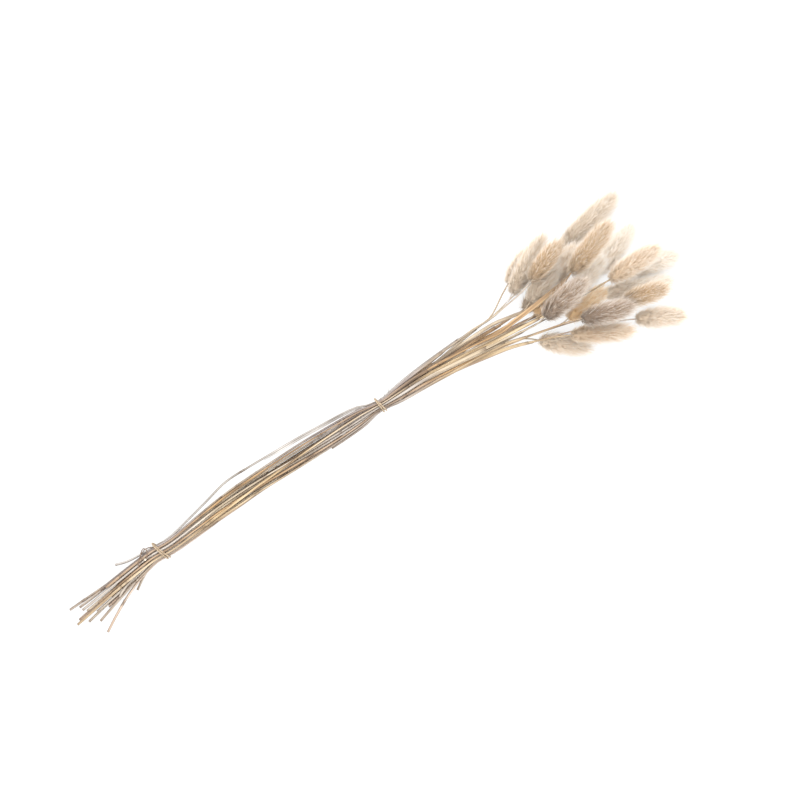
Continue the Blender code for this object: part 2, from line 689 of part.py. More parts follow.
def band_curve(name, centre, half_sizes, slant):
    """Band wound twice round an oval, which crosses over itself once, at its side."""
    curve = bpy.data.curves.new(name, "CURVE")
    curve.dimensions = "3D"
    curve.bevel_depth = BAND_R * MM
    curve.bevel_resolution = 1
    spline = curve.splines.new("POLY")
    spline.points.add(BAND_POINTS - 1)
    spline.use_cyclic_u = True
    for i, point in enumerate(spline.points):
        turn = 4 * math.pi * i / BAND_POINTS
        lift = CROSSING_LIFT * max(0.0, math.sin(turn / 2)) ** CROSSING_LENGTH
        angle = turn - math.pi
        y = (half_sizes[0] + lift) * math.cos(angle)
        z = (half_sizes[1] + lift) * math.sin(angle)
        x = BAND_SPREAD * math.cos(turn / 2) + slant * y
        point.co = (*(Vector((centre[0] + x, centre[1] + y, centre[2] + z)) * MM), 1.0)
    return curve


def height_above(plants, x, y, reach):
    """Top of the stalks under a disc of that reach round a point of the plan."""
    tops = []
    for plant in plants:
        if plant.xs[0] <= x <= plant.xs[-1]:
            side = np.interp(x, plant.xs, plant.path[:, 0])
            radius = half_width(plant, x)
            off = abs(side - y)
            top = np.interp(x, plant.xs, plant.path[:, 1]) + radius
            tops.append(top - STALK_FALL * max(0.0, off - radius - reach))
    return max(tops)


def string_loop(plants):
    """Loop of string with its knot, which lies on the stalks beside the lower tie."""
    curve = bpy.data.curves.new("string_loop", "CURVE")
    curve.dimensions = "3D"
    curve.bevel_depth = STRING_R * MM
    curve.bevel_resolution = 1
    spline = curve.splines.new("POLY")
    spline.points.add(LOOP_POINTS - 1)
    spline.use_cyclic_u = True
    for i, point in enumerate(spline.points):
        turn = 2 * math.pi * i / LOOP_POINTS
        along = LOOP_LENGTH * (1 - math.cos(turn)) / 2
        across = LOOP_WIDTH / 2 * math.sin(turn)
        x = KNOT_XY[0] + along * LOOP_AIM[0] + across * LOOP_AIM[1]
        y = KNOT_XY[1] + along * LOOP_AIM[1] - across * LOOP_AIM[0]
        near_knot = max(0.0, math.cos(turn)) ** KNOT_LENGTH
        radius = STRING_R + (KNOT_R - STRING_R) * near_knot
        z = height_above(plants, x, y, radius + STRING_SEAT) + radius + GAP
        point.co = (*(Vector((x, y, z)) * MM), 1.0)
        point.radius = radius / STRING_R
    return curve


def floor_cutter(collection, root):
    """Block whose top is the surface that the bunch lies on."""
    bpy.ops.mesh.primitive_cube_add(size=1.0)
    cutter = bpy.context.object
    cutter.name = "surface_cutter"
    cutter.data.transform(Matrix.Diagonal((*SURFACE_BLOCK, 1.0)))
    cutter.data.transform(Matrix.Translation((0.0, 0.0, -SURFACE_BLOCK[2] / 2)))
    for old in list(cutter.users_collection):
        old.objects.unlink(cutter)
    collection.objects.link(cutter)
    cutter.hide_render = True
    cutter.display_type = "WIRE"
    cutter.parent = root
    return cutter


def world_bounds(objects):
    """Lowest and highest corner of the finished shapes."""
    graph = bpy.context.evaluated_depsgraph_get()
    corners = []
    for obj in objects:
        shape = obj.evaluated_get(graph)
        mesh = shape.to_mesh()
        points = np.array([obj.matrix_world @ v.co for v in mesh.vertices])
        corners += [points.min(axis=0), points.max(axis=0)]
        shape.to_mesh_clear()
    return np.min(corners, axis=0), np.max(corners, axis=0)


def build():
    """Make the bunch and stand its origin under the middle of its outline."""
    for obj in list(bpy.data.objects):
        bpy.data.objects.remove(obj)
    scene = bpy.context.scene
    bunch = bpy.data.collections.new("dried_bunny_tail_grass")
    cutters = bpy.data.collections.new("cutters")
    scene.collection.children.link(bunch)
    scene.collection.children.link(cutters)
    root = bpy.data.objects.new("bunch_origin", None)
    bunch.objects.link(root)
    paint = {name: new_material(name, colour, ROUGHNESS) for name, colour in COLOURS.items()}

    plants = lay_out()
    worst = settle(plants)
    print(f"largest overlap left after settling: {worst:.2f} mm")

    stalks = ("straw", "grey straw", "straw", "olive straw", "straw", "brown straw", "grey straw")
    for i, plant in enumerate(plants):
        stem_name = plant.name.replace("head", "stem")
        add_object(stem_name, stalk_mesh(plant), paint[stalks[i % len(stalks)]], bunch, root)
        if plant.head:
            base = Vector((plant.xs[-2], *plant.path[-2]))
            tip = Vector((plant.xs[-1], *plant.path[-1]))
            mesh = head_mesh(plant.head, (tip - base).length, SEED * 100 + i)
            head = add_object(plant.name, mesh, paint[plant.head.tone], bunch, root)
            head.location = base * MM
            head.rotation_mode = "QUATERNION"
            head.rotation_quaternion = (tip - base).to_track_quat("Z", "Y")

    mid_sizes = tie_half_sizes(MID_PITCH, SHEATH_R)
    low_sizes = tie_half_sizes(LOWER_PITCH, FOOT_R)
    mid = band_curve("tie_middle", (0, 0, MID_TIE_Z), mid_sizes, MID_BAND_SLANT)
    low = band_curve("tie_lower", (LOWER_TIE_X, LOWER_TIE_Y, LOWER_TIE_Z), low_sizes,
                     LOWER_BAND_SLANT)
    add_object("tie_middle", mid, paint["raffia"], bunch, root)
    as_mesh(add_object("tie_lower", low, paint["raffia"], bunch, root))
    add_object("string_loop", string_loop(plants), paint["string"], bunch, root)

    cutter = floor_cutter(cutters, root)
    bpy.context.view_layer.update()
    for obj in [o for o in bunch.objects if o.type == "MESH"]:
        if world_bounds([obj])[0][2] < 0:
            press = obj.modifiers.new("lies on the surface", "BOOLEAN")
            press.operation = "DIFFERENCE"
            press.object = cutter
    bpy.context.view_layer.update()
    shapes = [obj for obj in bunch.objects if obj.type != "EMPTY"]
    low_corner, high_corner = world_bounds(shapes)
    middle = (low_corner + high_corner) / 2
    root.location = (-middle[0], -middle[1], 0.0)


if __name__ == "__main__":
    build()
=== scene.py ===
"""Looks of a tied bunch of dried bunny tail grass, laid down and seen from above.

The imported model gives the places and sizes. Each stalk, flower head and tie of it is replaced here
by a finer piece of the same form: ribbed straws with their leaf sheaths and hollow cut feet, heads
of spikelets under thousands of tapering hairs, bands of twisted raffia and a knotted thread.
"""

from __future__ import annotations

import logging
import math
from dataclasses import dataclass, field
from enum import Enum

import bmesh
import bpy
import numpy as np
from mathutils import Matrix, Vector

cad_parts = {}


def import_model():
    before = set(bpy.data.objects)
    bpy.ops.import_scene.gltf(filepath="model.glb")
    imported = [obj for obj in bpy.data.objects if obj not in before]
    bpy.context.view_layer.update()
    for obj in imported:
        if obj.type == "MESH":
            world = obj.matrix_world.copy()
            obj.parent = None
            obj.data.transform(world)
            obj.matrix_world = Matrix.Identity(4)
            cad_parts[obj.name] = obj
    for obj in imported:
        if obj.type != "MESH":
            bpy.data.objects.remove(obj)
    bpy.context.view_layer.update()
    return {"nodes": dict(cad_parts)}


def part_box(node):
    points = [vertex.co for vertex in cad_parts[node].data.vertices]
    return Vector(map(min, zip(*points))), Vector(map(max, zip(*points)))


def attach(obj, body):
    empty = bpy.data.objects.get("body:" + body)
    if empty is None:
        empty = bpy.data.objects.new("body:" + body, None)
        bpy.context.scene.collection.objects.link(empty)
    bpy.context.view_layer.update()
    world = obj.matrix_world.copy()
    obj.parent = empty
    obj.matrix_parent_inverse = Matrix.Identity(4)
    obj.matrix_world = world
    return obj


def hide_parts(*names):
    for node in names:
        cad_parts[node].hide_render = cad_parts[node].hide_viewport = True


LOG = logging.getLogger("bunny_tail_grass")
MM = 0.001
BODY = "root"
SEED = 20
WIDEST, FULLNESS, ROUNDNESS = 0.8, 2.6, 0.55    # outline of a head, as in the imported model
HOLLOW_INSET = 0.34        # wall round a cut foot's hollow, in half widths
HOLLOW_DEPTH = 0.008       # how far the hollow is first pushed in, in lengths of the blank
GRAIN_APART = 37           # how far apart two straws lie in the grain, in their own distances


def linear(hex_colour: str) -> tuple[float, float, float, float]:
    """Turn an sRGB hex colour into linear light.

    Args:
        hex_colour: Six hex digits, such as "C8A878".

    Returns:
        Red, green, blue and alpha, each from 0 to 1.
    """
    parts = [int(hex_colour[i:i + 2], 16) / 255 for i in (0, 2, 4)]
    light = [p / 12.92 if p <= 0.04045 else ((p + 0.055) / 1.055) ** 2.4 for p in parts]
    return (*light, 1.0)


def add_node(tree: bpy.types.NodeTree, kind: str, links: dict | None = None,
             stops: tuple = (), **settings: object) -> bpy.types.Node:
    """Add a shader node with its settings and its inputs.

    Args:
        tree: The node tree of the material.
        kind: The node's type, without the leading "ShaderNode".
        links: Input name or number to the socket that feeds it, or to its fixed value.
        stops: The places and sRGB hex colours of a colour ramp.
        **settings: Attributes of the node.

    Returns:
        The new node.
    """
    node = tree.nodes.new("ShaderNode" + kind)
    for name, value in settings.items():
        setattr(node, name, value)
    for name, value in (links or {}).items():
        if isinstance(value, bpy.types.NodeSocket):
            tree.links.new(value, node.inputs[name])
        else:
            node.inputs[name].default_value = value
    for i, (place, colour) in enumerate(stops):
        elements = node.color_ramp.elements
        element = elements[i] if i < 2 else elements.new(place)
        element.position = place
        element.color = linear(colour)
    return node


def new_material(name: str, roughness: float, ior: float = 1.5) -> tuple:
    """Make an empty material with a Principled shader.

    Args:
        name: What the material is.
        roughness: The shader's roughness.
        ior: The shader's index of refraction.

    Returns:
        The material, its node tree and its shader.
    """
    material = bpy.data.materials.new(name)
    material.use_nodes = True
    tree = material.node_tree
    shader = tree.nodes["Principled BSDF"]
    shader.inputs["Roughness"].default_value = roughness
    shader.inputs["IOR"].default_value = ior
    return material, tree, shader


@dataclass(frozen=True)
class StrawFinish:
    """Dried grass straw: a waxy skin with fine ribs, streaked along the grain, weathered grey and
    darkened along its flanks by painted shade.
    """

    name: str
    fresh: tuple[str, str, str]
    weathered: tuple[str, str, str]
    # Dark brown of the stains, also used for the shade painted on the flanks and in the hollow feet
    stain_and_shade: str = "54402E"
    roughness: float = 0.5
    # The ribs of real straw are nearer 0.1 mm apart: they are drawn coarser, so that they show
    streak_mm: float = 0.5
    streak_run_mm: float = 70.0
    streak_detail: float = 3.0
    streak_roughness: float = 0.6
    patch_mm: float = 3.0
    patch_stretch: float = 12.0
    rib_bump: float = 0.3
    rib_depth: float = 0.2 * MM
    stops: tuple[float, float, float] = (0.34, 0.5, 0.66)

    def build(self) -> bpy.types.Material:
        """Make the straw material, streaked along each straw; darker where it is stained or rubbed,
        beside each sheath's overlap, and where shade is painted on its flanks and in its hollow feet.

        Returns:
            The material.
        """
        material, tree, shader = new_material(self.name, self.roughness)
        place = add_node(tree, "Attribute", attribute_name="straight").outputs["Vector"]
        along, across = 1 / (self.streak_run_mm * MM), 1 / (self.streak_mm * MM)
        grain = add_node(tree, "Mapping", {"Vector": place, "Scale": (along, across, across)})
        streaks = add_node(tree, "TexNoise", {"Vector": grain.outputs[0], "Scale": 1.0,
                                              "Detail": self.streak_detail,
                                              "Roughness": self.streak_roughness})
        wide = 1 / (self.patch_mm * MM)
        blotch = add_node(tree, "Mapping", {"Vector": place,
                                            "Scale": (wide / self.patch_stretch, wide, wide)})
        patches = add_node(tree, "TexNoise", {"Vector": blotch.outputs[0], "Scale": 1.0,
                                              "Detail": 2.0})
        both = add_node(tree, "Math", {0: streaks.outputs["Fac"], 1: patches.outputs["Fac"]},
                        operation="ADD")
        tone = add_node(tree, "Math", {0: both.outputs[0], 1: 0.5}, operation="MULTIPLY").outputs[0]
        fresh = add_node(tree, "ValToRGB", {"Fac": tone}, self.pairs(self.fresh))
        grey = add_node(tree, "ValToRGB", {"Fac": tone}, self.pairs(self.weathered))
        weather = add_node(tree, "Attribute", attribute_name="weather").outputs["Fac"]
        aged = add_node(tree, "Mix", {0: weather, 6: fresh.outputs[0], 7: grey.outputs[0]},
                        data_type="RGBA")
        # Stains, and the shade painted on the flanks and in the hollow feet, mix in the dark brown
        wear_and_shade = add_node(tree, "Attribute", attribute_name="wear_and_shade").outputs["Fac"]
        worn_and_shaded = add_node(tree, "Mix", {0: wear_and_shade, 6: aged.outputs[2], 7: linear(self.stain_and_shade)},
                        data_type="RGBA")
        tree.links.new(worn_and_shaded.outputs[2], shader.inputs["Base Color"])
        relief = add_node(tree, "Bump", {"Height": streaks.outputs["Fac"], "Strength": self.rib_bump,
                                         "Distance": self.rib_depth})
        tree.links.new(relief.outputs[0], shader.inputs["Normal"])
        return material

    def pairs(self, colours: tuple[str, str, str]) -> tuple:
        """Pair deep, body and pale with their places on the ramp, ends first.

        Args:
            colours: The pale, body and deep colour.

        Returns:
            Three pairs of a place and a colour.
        """
        pale, body, deep = colours
        low, middle, high = self.stops
        return (low, deep), (high, pale), (middle, body)


@dataclass(frozen=True)
class HairFinish:
    """Silky plant hair: pale at the tip, warmer and deeper towards the root, with painted shade over
    the head's foot.
    """

    name: str
    root: str
    body: str
    tip: str
    # Painted shade: the grey of the foot of each head, standing in for shade there
    foot_shade: str
    roughness: float = 0.6
    foot_shade_reach: float = 0.42
    foot_shade_weight: float = 0.75
    root_at: float = 0.1
    body_at: float = 0.55
    tip_at: float = 0.95
    inner_fade: tuple[float, float, float, float] = (0.4, 0.95, 1.0, 0.35)
    level: tuple[float, float] = (0.9, 1.04)
    sheen: float = 0.15
    sheen_roughness: float = 0.4

    def build(self) -> bpy.types.Material:
        """Make the hair material, graded along each hair, with painted shade over the head's foot that
        fades towards its tip.

        Returns:
            The material.
        """
        material, tree, shader = new_material(self.name, self.roughness)
        along = add_node(tree, "Attribute", attribute_name="along").outputs["Fac"]
        station = add_node(tree, "Attribute", attribute_name="station").outputs["Fac"]
        shade = add_node(tree, "Attribute", attribute_name="shade").outputs["Fac"]
        stops = ((self.root_at, self.root), (self.tip_at, self.tip), (self.body_at, self.body))
        colour = add_node(tree, "ValToRGB", {"Fac": along}, stops).outputs["Color"]
        # Painted shade: grey mixed in over the head's foot, most on the inner part of each hair
        foot = add_node(tree, "MapRange", {0: station, 1: 0.0, 2: self.foot_shade_reach,
                                           3: self.foot_shade_weight, 4: 0.0})
        near, far, most, least = self.inner_fade
        inner = add_node(tree, "MapRange", {0: along, 1: near, 2: far, 3: most, 4: least})
        share = add_node(tree, "Math", {0: foot.outputs[0], 1: inner.outputs[0]},
                         operation="MULTIPLY")
        foot_shaded = add_node(tree, "Mix", {0: share.outputs[0], 6: colour, 7: linear(self.foot_shade)},
                          data_type="RGBA")
        dim, bright = self.level
        level = add_node(tree, "MapRange", {0: shade, 1: 0.0, 2: 1.0, 3: dim, 4: bright})
        lit = add_node(tree, "VectorMath", {0: foot_shaded.outputs[2], "Scale": level.outputs[0]},
                       operation="SCALE")
        tree.links.new(lit.outputs[0], shader.inputs["Base Color"])
        shader.inputs["Sheen Weight"].default_value = self.sheen
        shader.inputs["Sheen Roughness"].default_value = self.sheen_roughness
        return material


@dataclass(frozen=True)
class SpikeletFinish:
    """Papery husks of the spikelets under the hair: tan and matt, mottled with a deeper tone."""

    name: str
    husk: str
    deep: str
    roughness: float = 0.75
    mottle_mm: float = 3.0
    deep_at: float = 0.35
    husk_at: float = 0.65

    def build(self) -> bpy.types.Material:
        """Make the husk material, mottled over a few millimetres.

        Returns:
            The material.
        """
        material, tree, shader = new_material(self.name, self.roughness)
        place = add_node(tree, "TexCoord").outputs["Object"]
        mottle = add_node(tree, "TexNoise", {"Vector": place, "Scale": 1 / (self.mottle_mm * MM),
                                             "Detail": 3.0})
        stops = ((self.deep_at, self.deep), (self.husk_at, self.husk))
        colour = add_node(tree, "ValToRGB", {"Fac": mottle.outputs["Fac"]}, stops)
        tree.links.new(colour.outputs["Color"], shader.inputs["Base Color"])
        return material


@dataclass(frozen=True)
class FibreFinish:
    """Twisted plant fibre: matt, with fine fibres that run along the strand."""

    name: str
    light: str
    dark: str
    roughness: float = 0.8
    # Single fibres are too fine to show: the specks are drawn four fibres wide
    fibre_mm: float = 0.18
    fibres_wide: int = 4
    dark_at: float = 0.35
    light_at: float = 0.62
    fibre_bump: float = 0.4
    fibre_depth: float = 0.1 * MM

    def build(self) -> bpy.types.Material:
        """Make the fibre material, speckled at the width of a fibre.

        Returns:
            The material.
        """
        material, tree, shader = new_material(self.name, self.roughness)
        place = add_node(tree, "TexCoord").outputs["Object"]
        scale = 1 / (self.fibre_mm * self.fibres_wide * MM)
        speck = add_node(tree, "TexNoise", {"Vector": place, "Scale": scale,
                                            "Detail": 4.0})
        stops = ((self.dark_at, self.dark), (self.light_at, self.light))
        colour = add_node(tree, "ValToRGB", {"Fac": speck.outputs["Fac"]}, stops)
        tree.links.new(colour.outputs["Color"], shader.inputs["Base Color"])
        relief = add_node(tree, "Bump", {"Height": speck.outputs["Fac"], "Strength": self.fibre_bump,
                                         "Distance": self.fibre_depth})
        tree.links.new(relief.outputs[0], shader.inputs["Normal"])
        return material


class Tone(Enum):
    """Tones of the flower heads: hair root, hair body, hair tip, painted shade at the foot, and husk.
    """

    IVORY = ("FAE6CC", "FDEFDC", "FBF7F1", "F5E6D4", "F8E8D2")
    CREAM = ("E6CDAD", "F3DFC5", "F6EEE5", "DFD0BD", "E9D6BC")
    GOLD = ("D9B88F", "EACFAD", "F2E8DC", "D2BEA5", "DDC2A0")
    HONEY = ("E2B880", "F6D4A2", "F7ECDB", "DDC19A", "E3C294")
    ASH = ("D4BD9F", "E7D3B8", "F0E7DD", "C5B6A5", "DCC9B0")
    SAND = ("B29068", "CDAA7C", "ECE0D1", "A3917D", "C2A986")
    TAUPE = ("8E7358", "AC8E70", "E2D8CD", "7E7268", "A38D77")


class Straw(Enum):
    """Colours that the straws dried to: pale, body and deep, each as dried and as weathered."""

    WHEAT = (("DCC9A8", "B29972", "5C452F"), ("C8BEB3", "8F8378", "463D36"))
    GREY = (("C6B79F", "99886F", "4C3E30"), ("B4ABA7", "7D726E", "3E3735"))
    PEACH = (("DCC8B0", "AC937A", "5E4838"), ("CFBFB2", "9C897B", "504239"))
    TOBACCO = (("CEB088", "A17F54", "4A3622"), ("B09F90", "7D6A5A", "3F3328"))
    BONE = (("D4C3A6", "AC9876", "5E4C36"), ("CFC8C0", "A49B92", "585048"))
    SILVER = (("CEC8C0", "A39B90", "625A50"), ("C6C2BE", "9C9690", "5A5550"))


STRAW_ORDER = (Straw.GREY, Straw.GREY, Straw.TOBACCO, Straw.WHEAT, Straw.GREY, Straw.BONE, Straw.WHEAT,
               Straw.TOBACCO, Straw.BONE, Straw.GREY, Straw.PEACH, Straw.BONE, Straw.WHEAT, Straw.PEACH)
# Each head's tone: partly the heads' own colours, partly painted light. The sand and taupe of the heads
# that lie on top stand in for shade on them; the paler tones of the heads that lie low make up for the
# shadow that falls on them
HEAD_TONES_AND_LIGHT = {
    Tone.IVORY: ("03", "05", "06", "19"),
    Tone.CREAM: ("08", "11", "14", "17"),
    Tone.GOLD: ("04", "10"),
    Tone.HONEY: ("18", "21"),
    Tone.ASH: ("01", "13", "15", "20"),
    Tone.SAND: ("02", "07", "16"),
    Tone.TAUPE: ("09", "12"),
}
AWNED_HEADS = ("01", "03", "04", "08", "18")
STRAY_NODE = "stem_15"


def deselect_all() -> None:
    """Deselect every object."""
    bpy.ops.object.select_all(action="DESELECT")


def activate(obj: bpy.types.Object) -> None:
    """Select one object alone and make it the active one.

    Args:
        obj: The object.
    """
    deselect_all()
    obj.select_set(True)
    bpy.context.view_layer.objects.active = obj


def copy_of(blank: bpy.types.Object, name: str) -> bpy.types.Object:
    """Copy a modelled blank, with a mesh of its own.

    Args:
        blank: The object to copy.
        name: The copy's name.

    Returns:
        The copy, linked to the scene.
    """
    twin = blank.copy()
    twin.data = blank.data.copy()
    twin.name = name
    twin.data.name = name
    bpy.context.scene.collection.objects.link(twin)
    return twin


def points_of(mesh: bpy.types.Mesh) -> np.ndarray:
    """Read the places of a mesh's vertices as an array of rows.

    Args:
        mesh: The mesh.

    Returns:
        One row of X, Y and Z for each vertex.
    """
    co = np.empty(len(mesh.vertices) * 3)
    mesh.vertices.foreach_get("co", co)
    return co.reshape(-1, 3)


def set_points(mesh: bpy.types.Mesh, points: np.ndarray) -> None:
    """Write the places of a mesh's vertices."""
    mesh.vertices.foreach_set("co", np.ascontiguousarray(points, dtype=np.float32).ravel())
    mesh.update()


def set_attribute(mesh: bpy.types.Mesh, name: str, values: np.ndarray) -> None:
    """Write one number or one vector a vertex under a name that the materials read.

    Args:
        mesh: The mesh.
        name: The attribute's name.
        values: One row for each vertex.
    """
    kind, field_name = ("FLOAT", "value") if np.ndim(values) == 1 else ("FLOAT_VECTOR", "vector")
    layer = mesh.attributes.get(name) or mesh.attributes.new(name, kind, "POINT")
    layer.data.foreach_set(field_name, np.ascontiguousarray(values, dtype=np.float32).ravel())


def join(pieces: list[bpy.types.Object], name: str) -> bpy.types.Object:
    """Join objects into the first of them.

    Args:
        pieces: The objects to join.
        name: The name of the joined piece.

    Returns:
        The joined object.
    """
    activate(pieces[0])
    for piece in pieces[1:]:
        piece.select_set(True)
    if len(pieces) > 1:
        bpy.ops.object.join()
    pieces[0].name = name
    pieces[0].data.name = name
    return pieces[0]


def seat(piece: bpy.types.Object, slot: str, *nodes: str) -> None:
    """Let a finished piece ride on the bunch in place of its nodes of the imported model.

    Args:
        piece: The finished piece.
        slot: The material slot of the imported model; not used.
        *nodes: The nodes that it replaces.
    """
    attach(piece, BODY)
    if nodes:
        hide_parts(*nodes)
    triangles = sum(len(face.vertices) - 2 for face in piece.data.polygons)
    LOG.info("%s: %d triangles", piece.name, triangles)


def cut_rings(obj: bpy.types.Object, axis: int, cuts: int) -> None:
    """Cut rings into a form of unit length, across the edges that run along it.

    Args:
        obj: The form, which is left in edit mode.
        axis: The axis that it runs along, 0 for X and 2 for Z.
        cuts: How many rings.
    """
    bpy.ops.object.mode_set(mode="EDIT")
    bpy.ops.mesh.select_mode(type="EDGE")
    bpy.ops.mesh.select_all(action="DESELECT")
    edit = bmesh.from_edit_mesh(obj.data)
    for edge in edit.edges:
        edge.select_set(abs(edge.verts[0].co[axis] - edge.verts[1].co[axis]) > 0.5)
    bmesh.update_edit_mesh(obj.data)
    bpy.ops.mesh.subdivide(number_cuts=cuts)


def thicken(piece: bpy.types.Object, thickness: float) -> None:
    """Give an open surface its thickness, inwards.

    Args:
        piece: The surface.
        thickness: Its thickness.
    """
    activate(piece)
    wall = piece.modifiers.new("wall", "SOLIDIFY")
    wall.thickness = thickness
    wall.offset = -1.0
    bpy.ops.object.modifier_apply(modifier=wall.name)


def tube_blank(name: str, sides: int, cuts: int, capped: bool) -> bpy.types.Object:
    """Model a straight tube of unit radius and unit length along X, cut into rings.

    Args:
        name: The blank's name.
        sides: Faces round the tube.
        cuts: Rings cut between its ends.
        capped: Whether it gets a closed tip and a hollow foot, or stays open at both ends.

    Returns:
        The blank.
    """
    deselect_all()
    fill = "NGON" if capped else "NOTHING"
    bpy.ops.mesh.primitive_cylinder_add(vertices=sides, radius=1.0, depth=1.0, end_fill_type=fill,
                                        rotation=(0.0, math.pi / 2, 0.0))
    blank = bpy.context.object
    blank.name = name
    bpy.ops.object.transform_apply(location=False, rotation=True, scale=False)
    cut_rings(blank, 0, cuts)
    if capped:
        bpy.ops.mesh.select_mode(type="FACE")
        bpy.ops.mesh.select_all(action="DESELECT")
        edit = bmesh.from_edit_mesh(blank.data)
        for face in edit.faces:
            face.select_set(face.normal.x < -0.9 and face.calc_center_median().x < -0.49)
        bmesh.update_edit_mesh(blank.data)
        bpy.ops.mesh.inset(thickness=HOLLOW_INSET)
        bpy.ops.mesh.extrude_region_move(TRANSFORM_OT_translate={"value": (HOLLOW_DEPTH, 0.0, 0.0)})
    bpy.ops.object.mode_set(mode="OBJECT")
    return blank


@dataclass
class Stem:
    """Centre line and half widths of one stalk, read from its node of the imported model."""

    xs: np.ndarray
    centre: np.ndarray
    across: np.ndarray
    up: np.ndarray

    @classmethod
    def of_node(cls, node: bpy.types.Object) -> "Stem":
        """Read a stalk's rings, which lie in planes across X.

        Args:
            node: The stalk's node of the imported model.

        Returns:
            The stem.
        """
        points = points_of(node.data)
        plane = np.round(points[:, 0] / (0.02 * MM)).astype(int)
        rows = []
        for value in np.unique(plane):
            ring = points[plane == value]
            middle = (ring.min(axis=0) + ring.max(axis=0)) / 2
            half = (ring.max(axis=0) - ring.min(axis=0)) / 2
            rows.append((middle[0], middle[1], middle[2], half[1], half[2] / math.sin(math.pi / 3)))
        table = np.array(rows)
        return cls(table[:, 0], table[:, 1:3], table[:, 3], table[:, 4])

    def at(self, x: np.ndarray) -> tuple:
        """Find the stem at places along X, on a smooth curve through its rings.

        Args:
            x: Places along X.

        Returns:
            Centre, direction, half width across and half width up at each place.
        """
        slope = np.gradient(self.centre, self.xs, axis=0)
        i = np.clip(np.searchsorted(self.xs, x, side="right") - 1, 0, len(self.xs) - 2)
        span = (self.xs[i + 1] - self.xs[i])[:, None]
        t = (x[:, None] - self.xs[i][:, None]) / span
        t = np.clip(t, 0.0, 1.0)
        h = t * t * (3 - 2 * t)
        side = ((1 - h) * self.centre[i] + h * self.centre[i + 1]
                + t * (1 - t) ** 2 * slope[i] * span - t * t * (1 - t) * slope[i + 1] * span)
        run = (1 - t) * slope[i] + t * slope[i + 1]
        centre = np.column_stack([x, side])
        direction = np.column_stack([np.ones(len(x)), run])
        direction /= np.linalg.norm(direction, axis=1)[:, None]
        across = np.interp(x, self.xs, self.across) / np.hypot(1, run[:, 0])
        up = np.interp(x, self.xs, self.up) / np.hypot(1, run[:, 1])
        return centre, direction, across, up

    def wrap(self, x: np.ndarray, y: np.ndarray, z: np.ndarray) -> np.ndarray:
        """Bend points of a straight tube of unit radius round the stem.

        Args:
            x: Place of each point along the stem.
            y: Its place to the side, in half widths.
            z: Its place upwards, in half widths.

        Returns:
            The bent points.
        """
        centre, direction, across, up = self.at(x)
        side = np.cross(np.array([0.0, 0.0, 1.0]), direction)
        side /= np.linalg.norm(side, axis=1)[:, None]
        top = np.cross(direction, side)
        return centre + side * (y * across)[:, None] + top * (z * up)[:, None]


